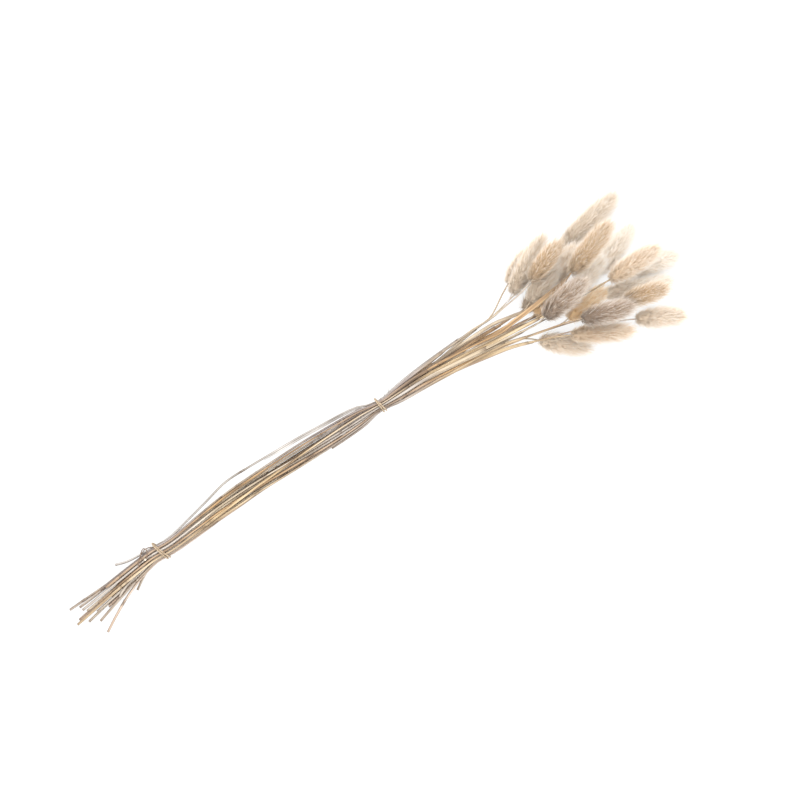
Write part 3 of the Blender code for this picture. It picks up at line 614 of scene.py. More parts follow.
@dataclass
class Stalks:
    """The straws: culm, knees, leaf sheaths with torn mouths, and hollow cut feet."""

    sides: int = 12
    rings: int = 96
    sheath_sides: int = 12
    sheath_rings: int = 18
    culm_share: float = 0.8
    mouth_radius: float = 0.75 * MM
    rib: float = 0.05
    knee_reach: float = 1.5 * MM
    knee_size: float = 1.12
    knee_rings: tuple[float, ...] = (-2.6 * MM, -1.2 * MM, 0.0, 1.2 * MM, 2.6 * MM)
    internode: tuple[float, float] = (88 * MM, 150 * MM)
    sheath_share: tuple[float, float] = (0.88, 0.985)
    tear: tuple[float, float] = (2 * MM, 9 * MM)
    flap: float = 0.09
    wall: float = 0.1 * MM
    foot_hollow: float = 3.5 * MM
    hollow_rim: float = 0.8
    hollow_share: float = 0.05
    foot_end: float = 0.001
    foot_stain: tuple[float, float] = (1.5 * MM, 0.6)
    knee_stain: float = 0.6
    knee_clear: float = 12 * MM
    # Painted shade inside the hollow of each cut foot
    hollow_painted_shade: float = 0.5
    hug: tuple[float, float, int] = (0.93, 0.07, 12)
    flare: float = 0.1
    flare_power: int = 8
    full_turn: float = 6.28
    lap_turn: tuple[float, float] = (0.6, 2.6)
    # Where along the wrap, over how much of it and how much a sheath darkens beside its overlap
    lap_darkening: tuple[float, float, float] = (0.86, 0.14, 0.55)
    torn_stain: tuple[float, float] = (0.55, 1.0)
    start_stain: tuple[float, float] = (1.2 * MM, 0.45)
    sheath_spread: float = 0.08
    least_sheath: float = 9 * MM
    end_clear: float = 2 * MM
    crease_deg: float = 50.0
    # Painted shade: dark brown laid along both flanks of each straw, the sides seen from above
    flank_painted_shade: float = 0.7
    flank_narrow: int = 4
    dark_mouth: float = 1.5 * MM
    dark_end: float = 4.5 * MM
    leaf_run: tuple[float, float] = (-118 * MM, -12 * MM)
    leaf_width: float = 1.1
    leaf_gap: float = 0.6
    leaf_flat: float = 0.25
    leaf_point: float = 0.02
    leaf_stain: float = 0.3
    stray_weather: float = 0.5
    weather_mm: tuple = ((-335, 0.7), (-262, 0.8), (-232, 0.9), (-205, 0.65), (-175, 0.15),
                         (-125, 0.3), (-90, 0.5), (-60, 0.8), (0, 1.1), (40, 0.85), (65, 0.25),
                         (125, 0.1), (160, 0.3), (260, 0.5))
    weather_spread: float = 0.2
    fray_places: tuple[float, ...] = (7.5 * MM, 12.5 * MM)
    fray_aims: tuple = ((0.35, 1.0, 0.6), (0.5, 0.8, 0.3))
    fray_length: float = 8.5 * MM
    fray_width: float = 0.24 * MM
    fray_bow: float = 0.25
    fray_colours: tuple[str, ...] = ("6E6450", "8C8270", "A59C8C", "8C8270")
    finishes: dict = field(default_factory=dict)

    def prepare(self) -> None:
        """Model the straight blanks and make the finishes."""
        self.culm_blank = tube_blank("culm_blank", self.sides, self.rings, True)
        self.sheath_blank = tube_blank("sheath_blank", self.sheath_sides, self.sheath_rings, False)
        low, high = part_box("tie_middle")
        self.tie_x = (low[0] + high[0]) / 2
        # Dried straw: a waxy skin that shines softly along its ribs, streaked with its grain and
        # gone grey where it weathered; its torn mouths and cut feet turned dark brown. Shade is
        # painted dark along the flanks of each straw and inside its hollow feet
        for straw in Straw:
            name = f"dried_straw_{straw.name.lower()}"
            self.finishes[straw] = StrawFinish(name, *straw.value).build()

    def knees(self, stem: Stem, mouth: float, rng: np.random.Generator) -> list[float]:
        """Choose where the knees of a stalk are, from its last sheath's mouth down.

        Args:
            stem: The stalk's stem.
            mouth: Where its last sheath ends.
            rng: The source of the variation.

        Returns:
            The knees' places along X, lowest first.
        """
        places, x = [], mouth - rng.uniform(*self.internode)
        while x > stem.xs[0] + self.knee_clear:
            places.insert(0, x)
            x -= rng.uniform(*self.internode)
        return places

    def weather(self, x: np.ndarray, offset: float) -> np.ndarray:
        """Tell how grey the straw has weathered at places along X."""
        places, values = zip(*self.weather_mm)
        return np.clip(np.interp((x - self.tie_x) / MM, places, values) + offset, 0, 1)

    @staticmethod
    def set_grain(piece: bpy.types.Object, stem: Stem, x: np.ndarray, points: np.ndarray) -> None:
        """Write where each vertex lies on the straw as if it were straight, for the streaks.

        Args:
            piece: The straw's piece.
            stem: The stalk's stem.
            x: Place of each vertex along it.
            points: The vertices on the straight blank.
        """
        _, _, across, up = stem.at(x)
        apart = stem.centre[0] * GRAIN_APART
        set_attribute(piece.data, "straight", np.column_stack(
            [x, points[:, 1] * across + apart[0], points[:, 2] * up + apart[1]]))

    def culm(self, stem: Stem, knees: list[float], offset: float, name: str) -> bpy.types.Object:
        """Shape the bare stalk: fine ribs, swollen knees and a hollow foot.

        Args:
            stem: The stalk's stem.
            knees: Where its knees are.
            offset: How much greyer it is than most.
            name: The piece's name.

        Returns:
            The bare stalk.
        """
        piece = copy_of(self.culm_blank, name)
        points = points_of(piece.data)
        share = points[:, 0] + 0.5
        out = np.hypot(points[:, 1], points[:, 2])
        hollow = (out < self.hollow_rim) & (share < self.hollow_share)
        close = [knee + step for knee in knees for step in self.knee_rings]
        even = np.linspace(stem.xs[0], stem.xs[-1], self.rings + 2 - len(close))
        places = np.sort(np.concatenate([even, close]))
        x = places[np.rint(share * (self.rings + 1)).astype(int)]
        x = np.where(hollow & (share > self.foot_end), stem.xs[0] + self.foot_hollow, x)
        x = np.where(hollow & (share <= self.foot_end), stem.xs[0], x)
        turn = np.arctan2(points[:, 2], points[:, 1])
        _, _, across, _ = stem.at(x)
        size = np.clip(self.mouth_radius / np.maximum(across, 1e-6), self.culm_share, 1.0)
        near = np.zeros(len(x))
        for knee in knees:
            near = np.maximum(near, np.exp(-((x - knee) / self.knee_reach) ** 2))
        size = size * (1 + self.rib * np.cos(turn * self.sides / 2))
        # Painted shade along the flanks of the culm, darkest at the sides seen from above
        flank_shade_share = self.flank_painted_shade * np.cos(turn) ** self.flank_narrow
        size = np.where(near > 0.01, np.maximum(size, size + (self.knee_size - size) * near), size)
        set_points(piece.data, stem.wrap(x, points[:, 1] * size, points[:, 2] * size))
        self.set_grain(piece, stem, x, points)
        foot_run, foot_most = self.foot_stain
        foot = np.exp(-(x - stem.xs[0]) / foot_run) * foot_most
        # Knee and foot stains are the straw's own; the hollow term is painted shade in the recess
        wear_and_shade = near * self.knee_stain + foot + hollow * self.hollow_painted_shade + flank_shade_share
        set_attribute(piece.data, "wear_and_shade", np.clip(wear_and_shade, 0, 1))
        set_attribute(piece.data, "weather", self.weather(x, offset))
        return piece

    def sheath(self, stem: Stem, start: float, end: float, offset: float, dark: float,
               rng: np.random.Generator, name: str) -> bpy.types.Object:
        """Shape one leaf sheath: wrapped round from its knee to a torn mouth, open by a thin wall.

        Args:
            stem: The stalk's stem.
            start: Where it starts along X.
            end: Where its mouth is.
            offset: How much greyer it is than most.
            dark: How far its mouth has turned dark.
            rng: The source of the variation.
            name: The piece's name.

        Returns:
            The sheath.
        """
        piece = copy_of(self.sheath_blank, name)
        points = points_of(piece.data)
        share = points[:, 0] + 0.5
        turn = np.arctan2(points[:, 2], points[:, 1])
        torn = rng.uniform(*self.tear) * (0.5 + 0.5 * np.cos(
            turn - rng.uniform(0, self.full_turn))) ** 3
        x = np.minimum(start + share * (end - start) + torn * share ** self.flare_power,
                       stem.xs[-1] - self.end_clear)
        lap = ((turn - rng.uniform(*self.lap_turn)) % (2 * math.pi)) / (2 * math.pi)
        least, swell, quick = self.hug
        size = (least + swell * np.minimum(share * quick, 1)) * (1 - self.flap * lap)
        size = size + self.flare * share ** self.flare_power
        set_points(piece.data, stem.wrap(x, points[:, 1] * size, points[:, 2] * size))
        self.set_grain(piece, stem, x, points)
        torn_edge = np.clip((x - end + dark) / dark, 0, 1) * rng.uniform(*self.torn_stain)
        # Darker along the margin next to the overlap
        lap_from, lap_run, lap_most = self.lap_darkening
        lap_line = np.clip((lap - lap_from) / lap_run, 0, 1) * lap_most
        start_run, start_most = self.start_stain
        start_stain_and_flank_shade = np.exp(-(x - start) / start_run) * start_most
        # Painted shade along the flanks of the sheath, as on the culm
        start_stain_and_flank_shade = start_stain_and_flank_shade + self.flank_painted_shade * np.cos(turn) ** self.flank_narrow
        set_attribute(piece.data, "wear_and_shade", np.clip(np.maximum(torn_edge, lap_line) + start_stain_and_flank_shade, 0, 1))
        offset = offset + rng.normal(0, self.sheath_spread)
        set_attribute(piece.data, "weather", self.weather(x, offset))
        thicken(piece, self.wall)
        return piece

    def leaf(self, stem: Stem, name: str) -> bpy.types.Object:
        """Shape the dry leaf that lies flat beside the stray stalk.

        Args:
            stem: The stalk's stem.
            name: The piece's name.

        Returns:
            The leaf.
        """
        piece = copy_of(self.sheath_blank, name)
        points = points_of(piece.data)
        share = points[:, 0] + 0.5
        first, last = (self.tie_x + place for place in self.leaf_run)
        taper = np.clip(4 * share * (1 - share), self.leaf_point, 1) ** 0.5
        side = points[:, 1] * self.leaf_width * taper - self.leaf_width - self.leaf_gap
        x = first + share * (last - first)
        set_points(piece.data, stem.wrap(x, side, points[:, 2] * self.leaf_flat * taper))
        self.set_grain(piece, stem, x, points)
        set_attribute(piece.data, "wear_and_shade", self.leaf_stain * np.clip(10 * share - 9, 0, 1))
        set_attribute(piece.data, "weather", self.weather(x, self.stray_weather))
        thicken(piece, self.wall)
        return piece

    def build(self, nodes: dict[str, bpy.types.Object]) -> dict[str, Stem]:
        """Build every stalk in place of its node.

        Args:
            nodes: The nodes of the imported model.

        Returns:
            Each stalk node's stem.
        """
        self.prepare()
        names = [n for n in sorted(nodes) if n.startswith(("stem_", "straw_"))]
        stems = {node: Stem.of_node(nodes[node]) for node in names}
        ranked = sorted(names, key=lambda node: -stems[node].centre[2][0])
        for i, node in enumerate(names):
            rng = np.random.default_rng(SEED + i)
            stem = stems[node]
            name = node.replace("stem", "stalk")
            wide = stem.xs[stem.across > self.mouth_radius]
            mouth = wide.max() if node.startswith("stem_") else stem.xs[-1]
            knees = self.knees(stem, mouth, rng)
            stray = node == STRAY_NODE
            offset = self.stray_weather if stray else rng.normal(0, self.weather_spread)
            parts = [self.culm(stem, knees, offset, name)]
            starts = [stem.xs[0], *knees]
            for start, stop in zip(starts, [*knees, mouth]):
                share = rng.uniform(*self.sheath_share) if stop != mouth else 1.0
                end = start + (stop - start) * share
                if end - start > self.least_sheath:
                    dark = self.dark_end if stop == mouth else self.dark_mouth
                    parts.append(self.sheath(stem, start, end, offset, dark, rng, f"{name}_sheath"))
            if stray:
                parts.append(self.leaf(stem, f"{name}_leaf"))
            piece = join(parts, name)
            straw = STRAW_ORDER[ranked.index(node) * len(STRAW_ORDER) // len(names)]
            straw = Straw.SILVER if stray else straw
            piece.data.materials.clear()
            piece.data.materials.append(self.finishes[straw])
            activate(piece)
            bpy.ops.object.shade_smooth_by_angle(angle=math.radians(self.crease_deg))
            seat(piece, "stalk", node)
        for blank in (self.culm_blank, self.sheath_blank):
            bpy.data.objects.remove(blank)
        self.frays(stems)
        return stems

    def frays(self, stems: dict[str, Stem]) -> None:
        """Grow the torn fibres that stand up from the outermost stalk beside the middle tie.

        Args:
            stems: The stalks' stems, by node.
        """
        tied = [stem for stem in stems.values() if stem.xs[0] < self.tie_x < stem.xs[-1] - 20 * MM]
        edge = max(tied, key=lambda stem: np.interp(self.tie_x, stem.xs, stem.centre[:, 0]))
        centre, _, across, _ = edge.at(np.array(self.fray_places) + self.tie_x)
        root = centre + np.array([[0.0, 0.5, 0.5]]) * across[:, None]
        aim = np.array(self.fray_aims)
        aim /= np.linalg.norm(aim, axis=1)[:, None]
        count = np.ones(len(root))
        strewn = Strewn()
        strewn.add(Template.spine(3, 3), Growth(root, aim, self.fray_bow * np.roll(aim, 1, axis=1),
                                                self.fray_length * count, self.fray_width * count,
                                                count, count * 0.5, count), 0)
        frays = strewn.to_object("frayed_fibres")
        # Torn sheath fibre: dull olive-grey slivers, darker than the straw that they came off
        frays.data.materials.append(HairFinish("torn_fibre", *self.fray_colours).build())
        seat(frays, "stalk")


@dataclass
class Template:
    """A small closed form that is strewn many times: its points, with z from root to tip."""

    points: np.ndarray
    faces: list[tuple[int, ...]]

    @classmethod
    def spine(cls, sides: int, cuts: int) -> "Template":
        """Model a tapering hair as a cone, cut so that it can bend.

        Args:
            sides: Faces round the hair.
            cuts: Rings cut between its root and its tip.

        Returns:
            The template.
        """
        deselect_all()
        bpy.ops.mesh.primitive_cone_add(vertices=sides, radius1=1.0, radius2=0.0, depth=1.0,
                                        location=(0.0, 0.0, 0.5))
        obj = bpy.context.object
        bpy.ops.object.transform_apply(location=True, rotation=False, scale=False)
        if not cuts:
            points = points_of(obj.data)
            foot = np.flatnonzero(points[:, 2] < 0.5)
            tip = np.flatnonzero(points[:, 2] > 0.5)[0]
            points[foot[0]], points[foot[1]] = (-1.0, 0.0, 0.0), (1.0, 0.0, 0.0)
            points[foot[2]], points[tip] = (0.0, -0.45, 1.0), (0.0, 0.45, 1.0)
            set_points(obj.data, points)
        else:
            cut_rings(obj, 2, cuts)
            bpy.ops.object.mode_set(mode="OBJECT")
        return cls.take(obj)

    @classmethod
    def husk(cls) -> "Template":
        """Model one spikelet: a slim, pointed, slightly keeled scale.

        Returns:
            The template.
        """
        deselect_all()
        bpy.ops.mesh.primitive_uv_sphere_add(segments=4, ring_count=4, radius=1.0)
        obj = bpy.context.object
        points = points_of(obj.data)
        along = (points[:, 2] + 1) / 2
        keel = np.where(points[:, 1] > 0, 1.0, 0.35)
        set_points(obj.data, np.column_stack([points[:, 0], points[:, 1] * keel * 0.5, along]))
        return cls.take(obj)

    @classmethod
    def take(cls, obj: bpy.types.Object) -> "Template":
        """Read a modelled object into a template and remove it.

        Args:
            obj: The modelled object.

        Returns:
            The template.
        """
        points = points_of(obj.data)
        faces = [tuple(p.vertices) for p in obj.data.polygons]
        bpy.data.objects.remove(obj)
        return cls(points, faces)


@dataclass
class Growth:
    """Hairs or husks that grow together: one row of every array for each of them."""

    root: np.ndarray
    aim: np.ndarray
    bow: np.ndarray
    length: np.ndarray
    width: np.ndarray
    station: np.ndarray
    shade: np.ndarray
    ripe: np.ndarray


@dataclass
class Strewn:
    """Many copies of templates gathered into one mesh, with their attributes."""

    points: list[np.ndarray] = field(default_factory=list)
    faces: list[np.ndarray] = field(default_factory=list)
    values: dict[str, list[np.ndarray]] = field(default_factory=dict)
    slots: list[np.ndarray] = field(default_factory=list)
    count: int = 0

    def add(self, template: Template, growth: Growth, slot: int) -> None:
        """Add one copy of a template for each root of a growth.

        Args:
            template: The form to copy, which bends along its bow.
            growth: Where and how the copies grow.
            slot: The material slot of them all.
        """
        n, size = len(growth.root), len(template.points)
        side = np.cross(growth.aim, growth.bow + np.array([0.13, 0.41, 0.27]))
        side /= np.linalg.norm(side, axis=1)[:, None]
        top = np.cross(side, growth.aim)
        px, py, t = template.points.T
        bent = (t[None, :, None] * growth.aim[:, None]
                + (t ** 2)[None, :, None] * growth.bow[:, None])
        thick = (px[None, :, None] * side[:, None] + py[None, :, None] * top[:, None])
        points = (growth.root[:, None] + growth.length[:, None, None] * bent
                  + growth.width[:, None, None] * thick)
        self.points.append(points.reshape(-1, 3))
        for face in template.faces:
            self.faces.append(np.arange(n)[:, None] * size + np.array(face) + self.count)
            self.slots.append(np.full(n, slot))
        along = (growth.ripe[:, None] * t[None, :]).ravel()
        for name, value in (("along", along), ("station", np.repeat(growth.station, size)),
                            ("shade", np.repeat(growth.shade, size))):
            self.values.setdefault(name, []).append(value)
        self.count += n * size

    def to_object(self, name: str) -> bpy.types.Object:
        """Make the mesh object of everything that was added.

        Args:
            name: The object's name.

        Returns:
            The object.
        """
        mesh = bpy.data.meshes.new(name)
        points = np.concatenate(self.points)
        mesh.vertices.add(len(points))
        mesh.vertices.foreach_set("co", points.astype(np.float32).ravel())
        sizes = np.concatenate([np.full(len(f), f.shape[1]) for f in self.faces])
        mesh.loops.add(int(sizes.sum()))
        corners = np.concatenate([f.ravel() for f in self.faces])
        mesh.loops.foreach_set("vertex_index", corners.astype(np.int32))
        mesh.polygons.add(len(sizes))
        starts = np.concatenate([[0], np.cumsum(sizes)[:-1]])
        mesh.polygons.foreach_set("loop_start", starts.astype(np.int32))
        mesh.polygons.foreach_set("material_index", np.concatenate(self.slots).astype(np.int32))
        mesh.update(calc_edges=True)
        for key, parts in self.values.items():
            set_attribute(mesh, key, np.concatenate(parts))
        obj = bpy.data.objects.new(name, mesh)
        bpy.context.scene.collection.objects.link(obj)
        return obj


@dataclass
class FlowerHeads:
    """The soft heads: plumes of fine hairs on spikelets round a slim core, and longer awns."""

    husk_count: int = 40
    tufts: int = 2700
    tuft_hairs: int = 3
    fringe_in_tuft: int = 1
    awns: int = 20
    many_awns: int = 34
    core_share: float = 0.52
    root_scatter: float = 0.9 * MM
    tuft_sway: float = 0.06
    hair_spread: float = 0.05
    body_ripe: float = 0.65
    body_reach: tuple[float, float] = (0.76, 0.12)
    fringe_beyond: tuple[float, float] = (3.6 * MM, 2.0 * MM)
    fringe_at: tuple = ((0.0, 0.4), (0.15, 0.8), (0.5, 1.0), (1.0, 1.2))
    shortest: float = 1.5 * MM
    awn_beyond: tuple[float, float] = (4.0 * MM, 10.0 * MM)
    awn_rise: float = 0.6
    hair_width: float = 0.1 * MM
    fringe_width: float = 0.115 * MM
    awn_width: float = 0.21 * MM
    husk_width: float = 0.4 * MM
    lean: tuple = ((0.0, 104.0), (0.05, 76.0), (0.14, 52.0), (0.5, 34.0), (0.8, 26.0), (1.0, 8.0))
    grown_share: float = 0.9
    golden_turn: float = math.pi * (3 - math.sqrt(5))
    ground: float = 0.06 * MM
    foot_spots: tuple[float, float, float] = (0.15, 1.2, 0.07)
    ray_steps: tuple[float, float, int] = (0.08, 2.2, 54)
    ray_margin: float = 0.012
    fringe_vary: tuple[float, float] = (0.6, 1.2)
    width_vary: float = 0.35
    hair_bow: tuple[float, float] = (0.05, 0.25)
    awn_bow: tuple[float, float] = (0.1, 0.35)
    awn_turn: float = 1.1
    awn_spread: float = 0.1
    awn_shade: float = 0.9
    husk_spread: float = 0.05
    husk_sunk: float = 0.8
    husk_reach: float = 0.35
    husk_vary: tuple[float, float] = (0.8, 1.2)
    core_faces: tuple[int, int] = (16, 18)
    core_ripple: tuple[float, int, int] = (0.08, 3, 40)
    core_shade: float = 0.4
    finishes: dict = field(default_factory=dict)

    def prepare(self) -> None:
        """Model what is strewn and make the finishes."""
        self.hair = Template.spine(3, 0)
        self.awn = Template.spine(3, 3)
        self.husk = Template.husk()
        # Silky hair: a soft sheen, deep between the hairs and pale at their tips, with painted
        # shade over the foot of each head. Papery husk: matt and faintly mottled. Bright awn: the
        # same hair, bleached near white, with a fainter painted shade at its foot
        for tone in Tone:
            root, body, tip, foot, husk = tone.value
            label = tone.name.lower()
            self.finishes[tone] = (
                HairFinish(f"silky_hair_{label}", root, body, tip, foot).build(),
                SpikeletFinish(f"papery_husk_{label}", husk, body).build(),
                HairFinish(f"bright_awn_{label}", "F0E6D6", "FFF9EE", "FFFCF6", "F6EEE0").build(),
            )

    @staticmethod
    def outline(u: np.ndarray) -> np.ndarray:
        """Radius of a head as a share of its half width, at the share u of its length.

        Args:
            u: Shares of the length.

        Returns:
            The radius at each of them.
        """
        inside = (u > 0) & (u < 1)
        shape = 1 - np.abs(2 * np.clip(u, 0, 1) ** WIDEST - 1) ** FULLNESS
        return np.where(inside, np.maximum(shape, 0.0) ** ROUNDNESS, 0.0)

    def spots(self, count: int) -> tuple[np.ndarray, np.ndarray]:
        """Spread spots evenly over a head.

        Args:
            count: How many.

        Returns:
            The share of the length and the turn round the axis of each spot.
        """
        grid = np.linspace(0, 1, 200)
        least, extra, foot = self.foot_spots
        weight = np.cumsum(self.outline(grid) + least + extra * (grid < foot))
        share = (np.arange(count) + 0.5) / count
        u = np.interp(share * weight[-1], weight, grid)
        return u, np.arange(count) * self.golden_turn

    def reach(self, head: "HeadFrame", root: np.ndarray, aim: np.ndarray) -> np.ndarray:
        """Measure how far each ray runs before it leaves the head's outline.

        Args:
            head: The head's place and size.
            root: Where the rays start.
            aim: Their directions.

        Returns:
            The distances.
        """
        steps = np.linspace(*self.ray_steps) * head.half
        inside = np.ones(len(root), bool)
        far = np.full(len(root), steps[0])
        for step in steps:
            away = root + aim * step - head.base
            x = away @ head.axis
            out = np.linalg.norm(away - x[:, None] * head.axis, axis=1)
            inside &= out < head.half * self.outline(x / head.length + self.ray_margin)
            far = np.where(inside, step, far)
        return far

    def grow(self, head: "HeadFrame", u: np.ndarray, turn: np.ndarray, rng: np.random.Generator,
             scatter: float, spread: float) -> tuple[np.ndarray, np.ndarray]:
        """Place roots on the core of a head and aim them outwards and forwards.

        Args:
            head: The head's place and size.
            u: The share of the head's length at which each grows.
            turn: Its turn round the head's axis.
            rng: The source of the variation.
            scatter: How far the roots are scattered.
            spread: How far the aims are scattered.

        Returns:
            The roots and the aims.
        """
        out = head.side * np.cos(turn)[:, None] + head.top * np.sin(turn)[:, None]
        core = head.half * self.core_share * self.outline(np.maximum(u, 0.02))
        root = head.base + head.axis * (u * head.length * self.grown_share)[:, None]
        root = root + out * core[:, None] + rng.normal(0, scatter, (len(u), 3))
        tilt = np.radians(np.interp(u, *zip(*self.lean)))
        aim = head.axis * np.cos(tilt)[:, None] + out * np.sin(tilt)[:, None]
        aim = aim + rng.normal(0, spread, (len(u), 3))
        return root, aim / np.linalg.norm(aim, axis=1)[:, None]

    def hairs(self, head: "HeadFrame", rng: np.random.Generator, tufts: int) -> Growth:
        """Grow the fine hairs in small tufts, each tuft with its own lean, reach and tint.

        Args:
            head: The head's place and size.
            rng: The source of the variation.
            tufts: How many tufts.

        Returns:
            The hairs.
        """
        each = self.tuft_hairs
        u, turn = self.spots(tufts)
        root, aim = self.grow(head, u, turn, rng, self.root_scatter, self.tuft_sway)
        root, aim, u = (np.repeat(value, each, axis=0) for value in (root, aim, u))
        aim = aim + rng.normal(0, self.hair_spread, aim.shape)
        aim /= np.linalg.norm(aim, axis=1)[:, None]
        fringe = np.tile(np.arange(each) < self.fringe_in_tuft, tufts)
        reach = self.reach(head, root, aim)
        beyond = np.repeat(rng.normal(*self.fringe_beyond, tufts), each)
        beyond = beyond * rng.uniform(*self.fringe_vary, len(u))
        beyond = beyond * np.interp(u, *zip(*self.fringe_at))
        length = np.where(fringe, reach + beyond, reach * rng.normal(*self.body_reach, len(u)))
        bow = head.axis * rng.uniform(*self.hair_bow, len(u))[:, None]
        width = np.where(fringe, self.fringe_width, self.hair_width)
        width = width * rng.lognormal(0, self.width_vary, len(u))
        tint = 0.5 * np.repeat(rng.random(tufts), each) + 0.5 * rng.random(len(u))
        ripe = np.where(fringe, 1.0, self.body_ripe)
        return Growth(root, aim, bow, np.maximum(length, self.shortest), width, u, tint, ripe)

    def long_awns(self, head: "HeadFrame", rng: np.random.Generator, count: int) -> Growth:
        """Grow the few longer awns, which bend towards the tip.

        Args:
            head: The head's place and size.
            rng: The source of the variation.
            count: How many.

        Returns:
            The awns.
        """
        u, turn = self.spots(count)
        root, aim = self.grow(head, u, turn + self.awn_turn, rng, self.root_scatter,
                              self.awn_spread)
        reach = self.reach(head, root, aim)
        root = root + aim * (self.awn_rise * reach)[:, None]
        length = reach * (1 - self.awn_rise) + rng.uniform(*self.awn_beyond, len(u))
        bow = head.axis * rng.uniform(*self.awn_bow, len(u))[:, None]
        return Growth(root, aim, bow, length, np.full(len(u), self.awn_width), u,
                      np.full(len(u), self.awn_shade), np.ones(len(u)))

    def husks(self, head: "HeadFrame", rng: np.random.Generator) -> Growth:
        """Grow the papery husks round the core, deep in the hair.

        Args:
            head: The head's place and size.
            rng: The source of the variation.

        Returns:
            The husks.
        """
        u, turn = self.spots(self.husk_count)
        root, aim = self.grow(head, u, turn, rng, 0.0, self.husk_spread)
        root = root - aim * self.husk_sunk * MM
        length = self.reach(head, root, aim) * self.husk_reach
        width = self.husk_width * rng.uniform(*self.husk_vary, len(u))
        return Growth(root, aim, np.zeros_like(root), length, width, u, rng.random(len(u)),
                      np.ones(len(u)))

    def core(self, head: "HeadFrame", name: str) -> bpy.types.Object:
        """Model the slim body of a head that the spikelets stand on.

        Args:
            head: The head's place and size.
            name: The piece's name.

        Returns:
            The core.
        """
        deselect_all()
        segments, rings = self.core_faces
        bpy.ops.mesh.primitive_uv_sphere_add(segments=segments, ring_count=rings, radius=1.0)
        core = bpy.context.object
        core.name = name
        points = points_of(core.data)
        u = np.arccos(np.clip(-points[:, 2], -1, 1)) / math.pi
        turn = np.arctan2(points[:, 1], points[:, 0])
        depth, lobes, waves = self.core_ripple
        ripple = 1 + depth * np.cos(lobes * turn + waves * u)
        out = self.outline(u) * head.half * self.core_share * ripple
        set_points(core.data, head.base + head.axis * (u * head.length * self.grown_share)[:, None]
                   + head.side * (out * np.cos(turn))[:, None]
                   + head.top * (out * np.sin(turn))[:, None])
        for key, value in (("along", self.core_shade), ("station", u), ("shade", self.core_shade)):
            set_attribute(core.data, key, np.broadcast_to(value, len(u)))
        return core

    def build(self, nodes: dict[str, bpy.types.Object], stems: dict[str, Stem]) -> None:
        """Build every head in place of its node.

        Args:
            nodes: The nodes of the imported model.
            stems: The stalks' stems, by node.
        """
        self.prepare()
        names = [n for n in sorted(nodes) if n.startswith("head_")]
        frames = {n: HeadFrame.of_node(nodes[n], stems[n.replace("head", "stem")]) for n in names}
        mean_area = sum(h.length * h.half for h in frames.values()) / len(frames)
        for i, (node, head) in enumerate(frames.items()):
            rng = np.random.default_rng(SEED * 10 + i)
            number = node[-2:]
            tufts = round(self.tufts * head.length * head.half / mean_area)
            tone = next(t for t, members in HEAD_TONES_AND_LIGHT.items() if number in members)
            awns = self.many_awns if number in AWNED_HEADS else self.awns
            strewn = Strewn()
            strewn.add(self.husk, self.husks(head, rng), 1)
            strewn.add(self.hair, self.hairs(head, rng, tufts), 0)
            strewn.add(self.awn, self.long_awns(head, rng, awns), 2)
            fluff = strewn.to_object(f"bloom_{number}")
            core = self.core(head, f"core_{number}")
            for material in self.finishes[tone]:
                fluff.data.materials.append(material)
            core.data.materials.append(self.finishes[tone][0])
            piece = join([fluff, core], f"bloom_{number}")
            points = points_of(piece.data)
            low = points[:, 2] < self.ground
            points[low, 2] = self.ground * (1 + 3 * rng.random(low.sum()))
            set_points(piece.data, points)
            activate(piece)
            bpy.ops.object.shade_smooth()
            seat(piece, "bloom", node)


@dataclass
class HeadFrame:
    """Place, direction and size of one flower head, read from its node."""

    base: np.ndarray
    axis: np.ndarray
    side: np.ndarray
    top: np.ndarray
    length: float
    half: float

    @classmethod
    def of_node(cls, node: bpy.types.Object, stem: Stem) -> "HeadFrame":
        """Read a head, which starts where its stalk ends.

        Args:
            node: The head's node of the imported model.
            stem: The stalk that carries it.

        Returns:
            The head's frame.
        """
        points = points_of(node.data)
        base = np.array([stem.xs[-1], *stem.centre[-1]])
        away = points - base
        tip = away[np.argmax(np.linalg.norm(away, axis=1))]
        length = float(np.linalg.norm(tip))
        axis = tip / length
        radial = np.linalg.norm(away - np.outer(away @ axis, axis), axis=1)
        side = np.cross(axis, np.array([0.0, 0.0, 1.0]))
        side /= np.linalg.norm(side)
        return cls(base, axis, side, np.cross(side, axis), length, float(radial.max()))


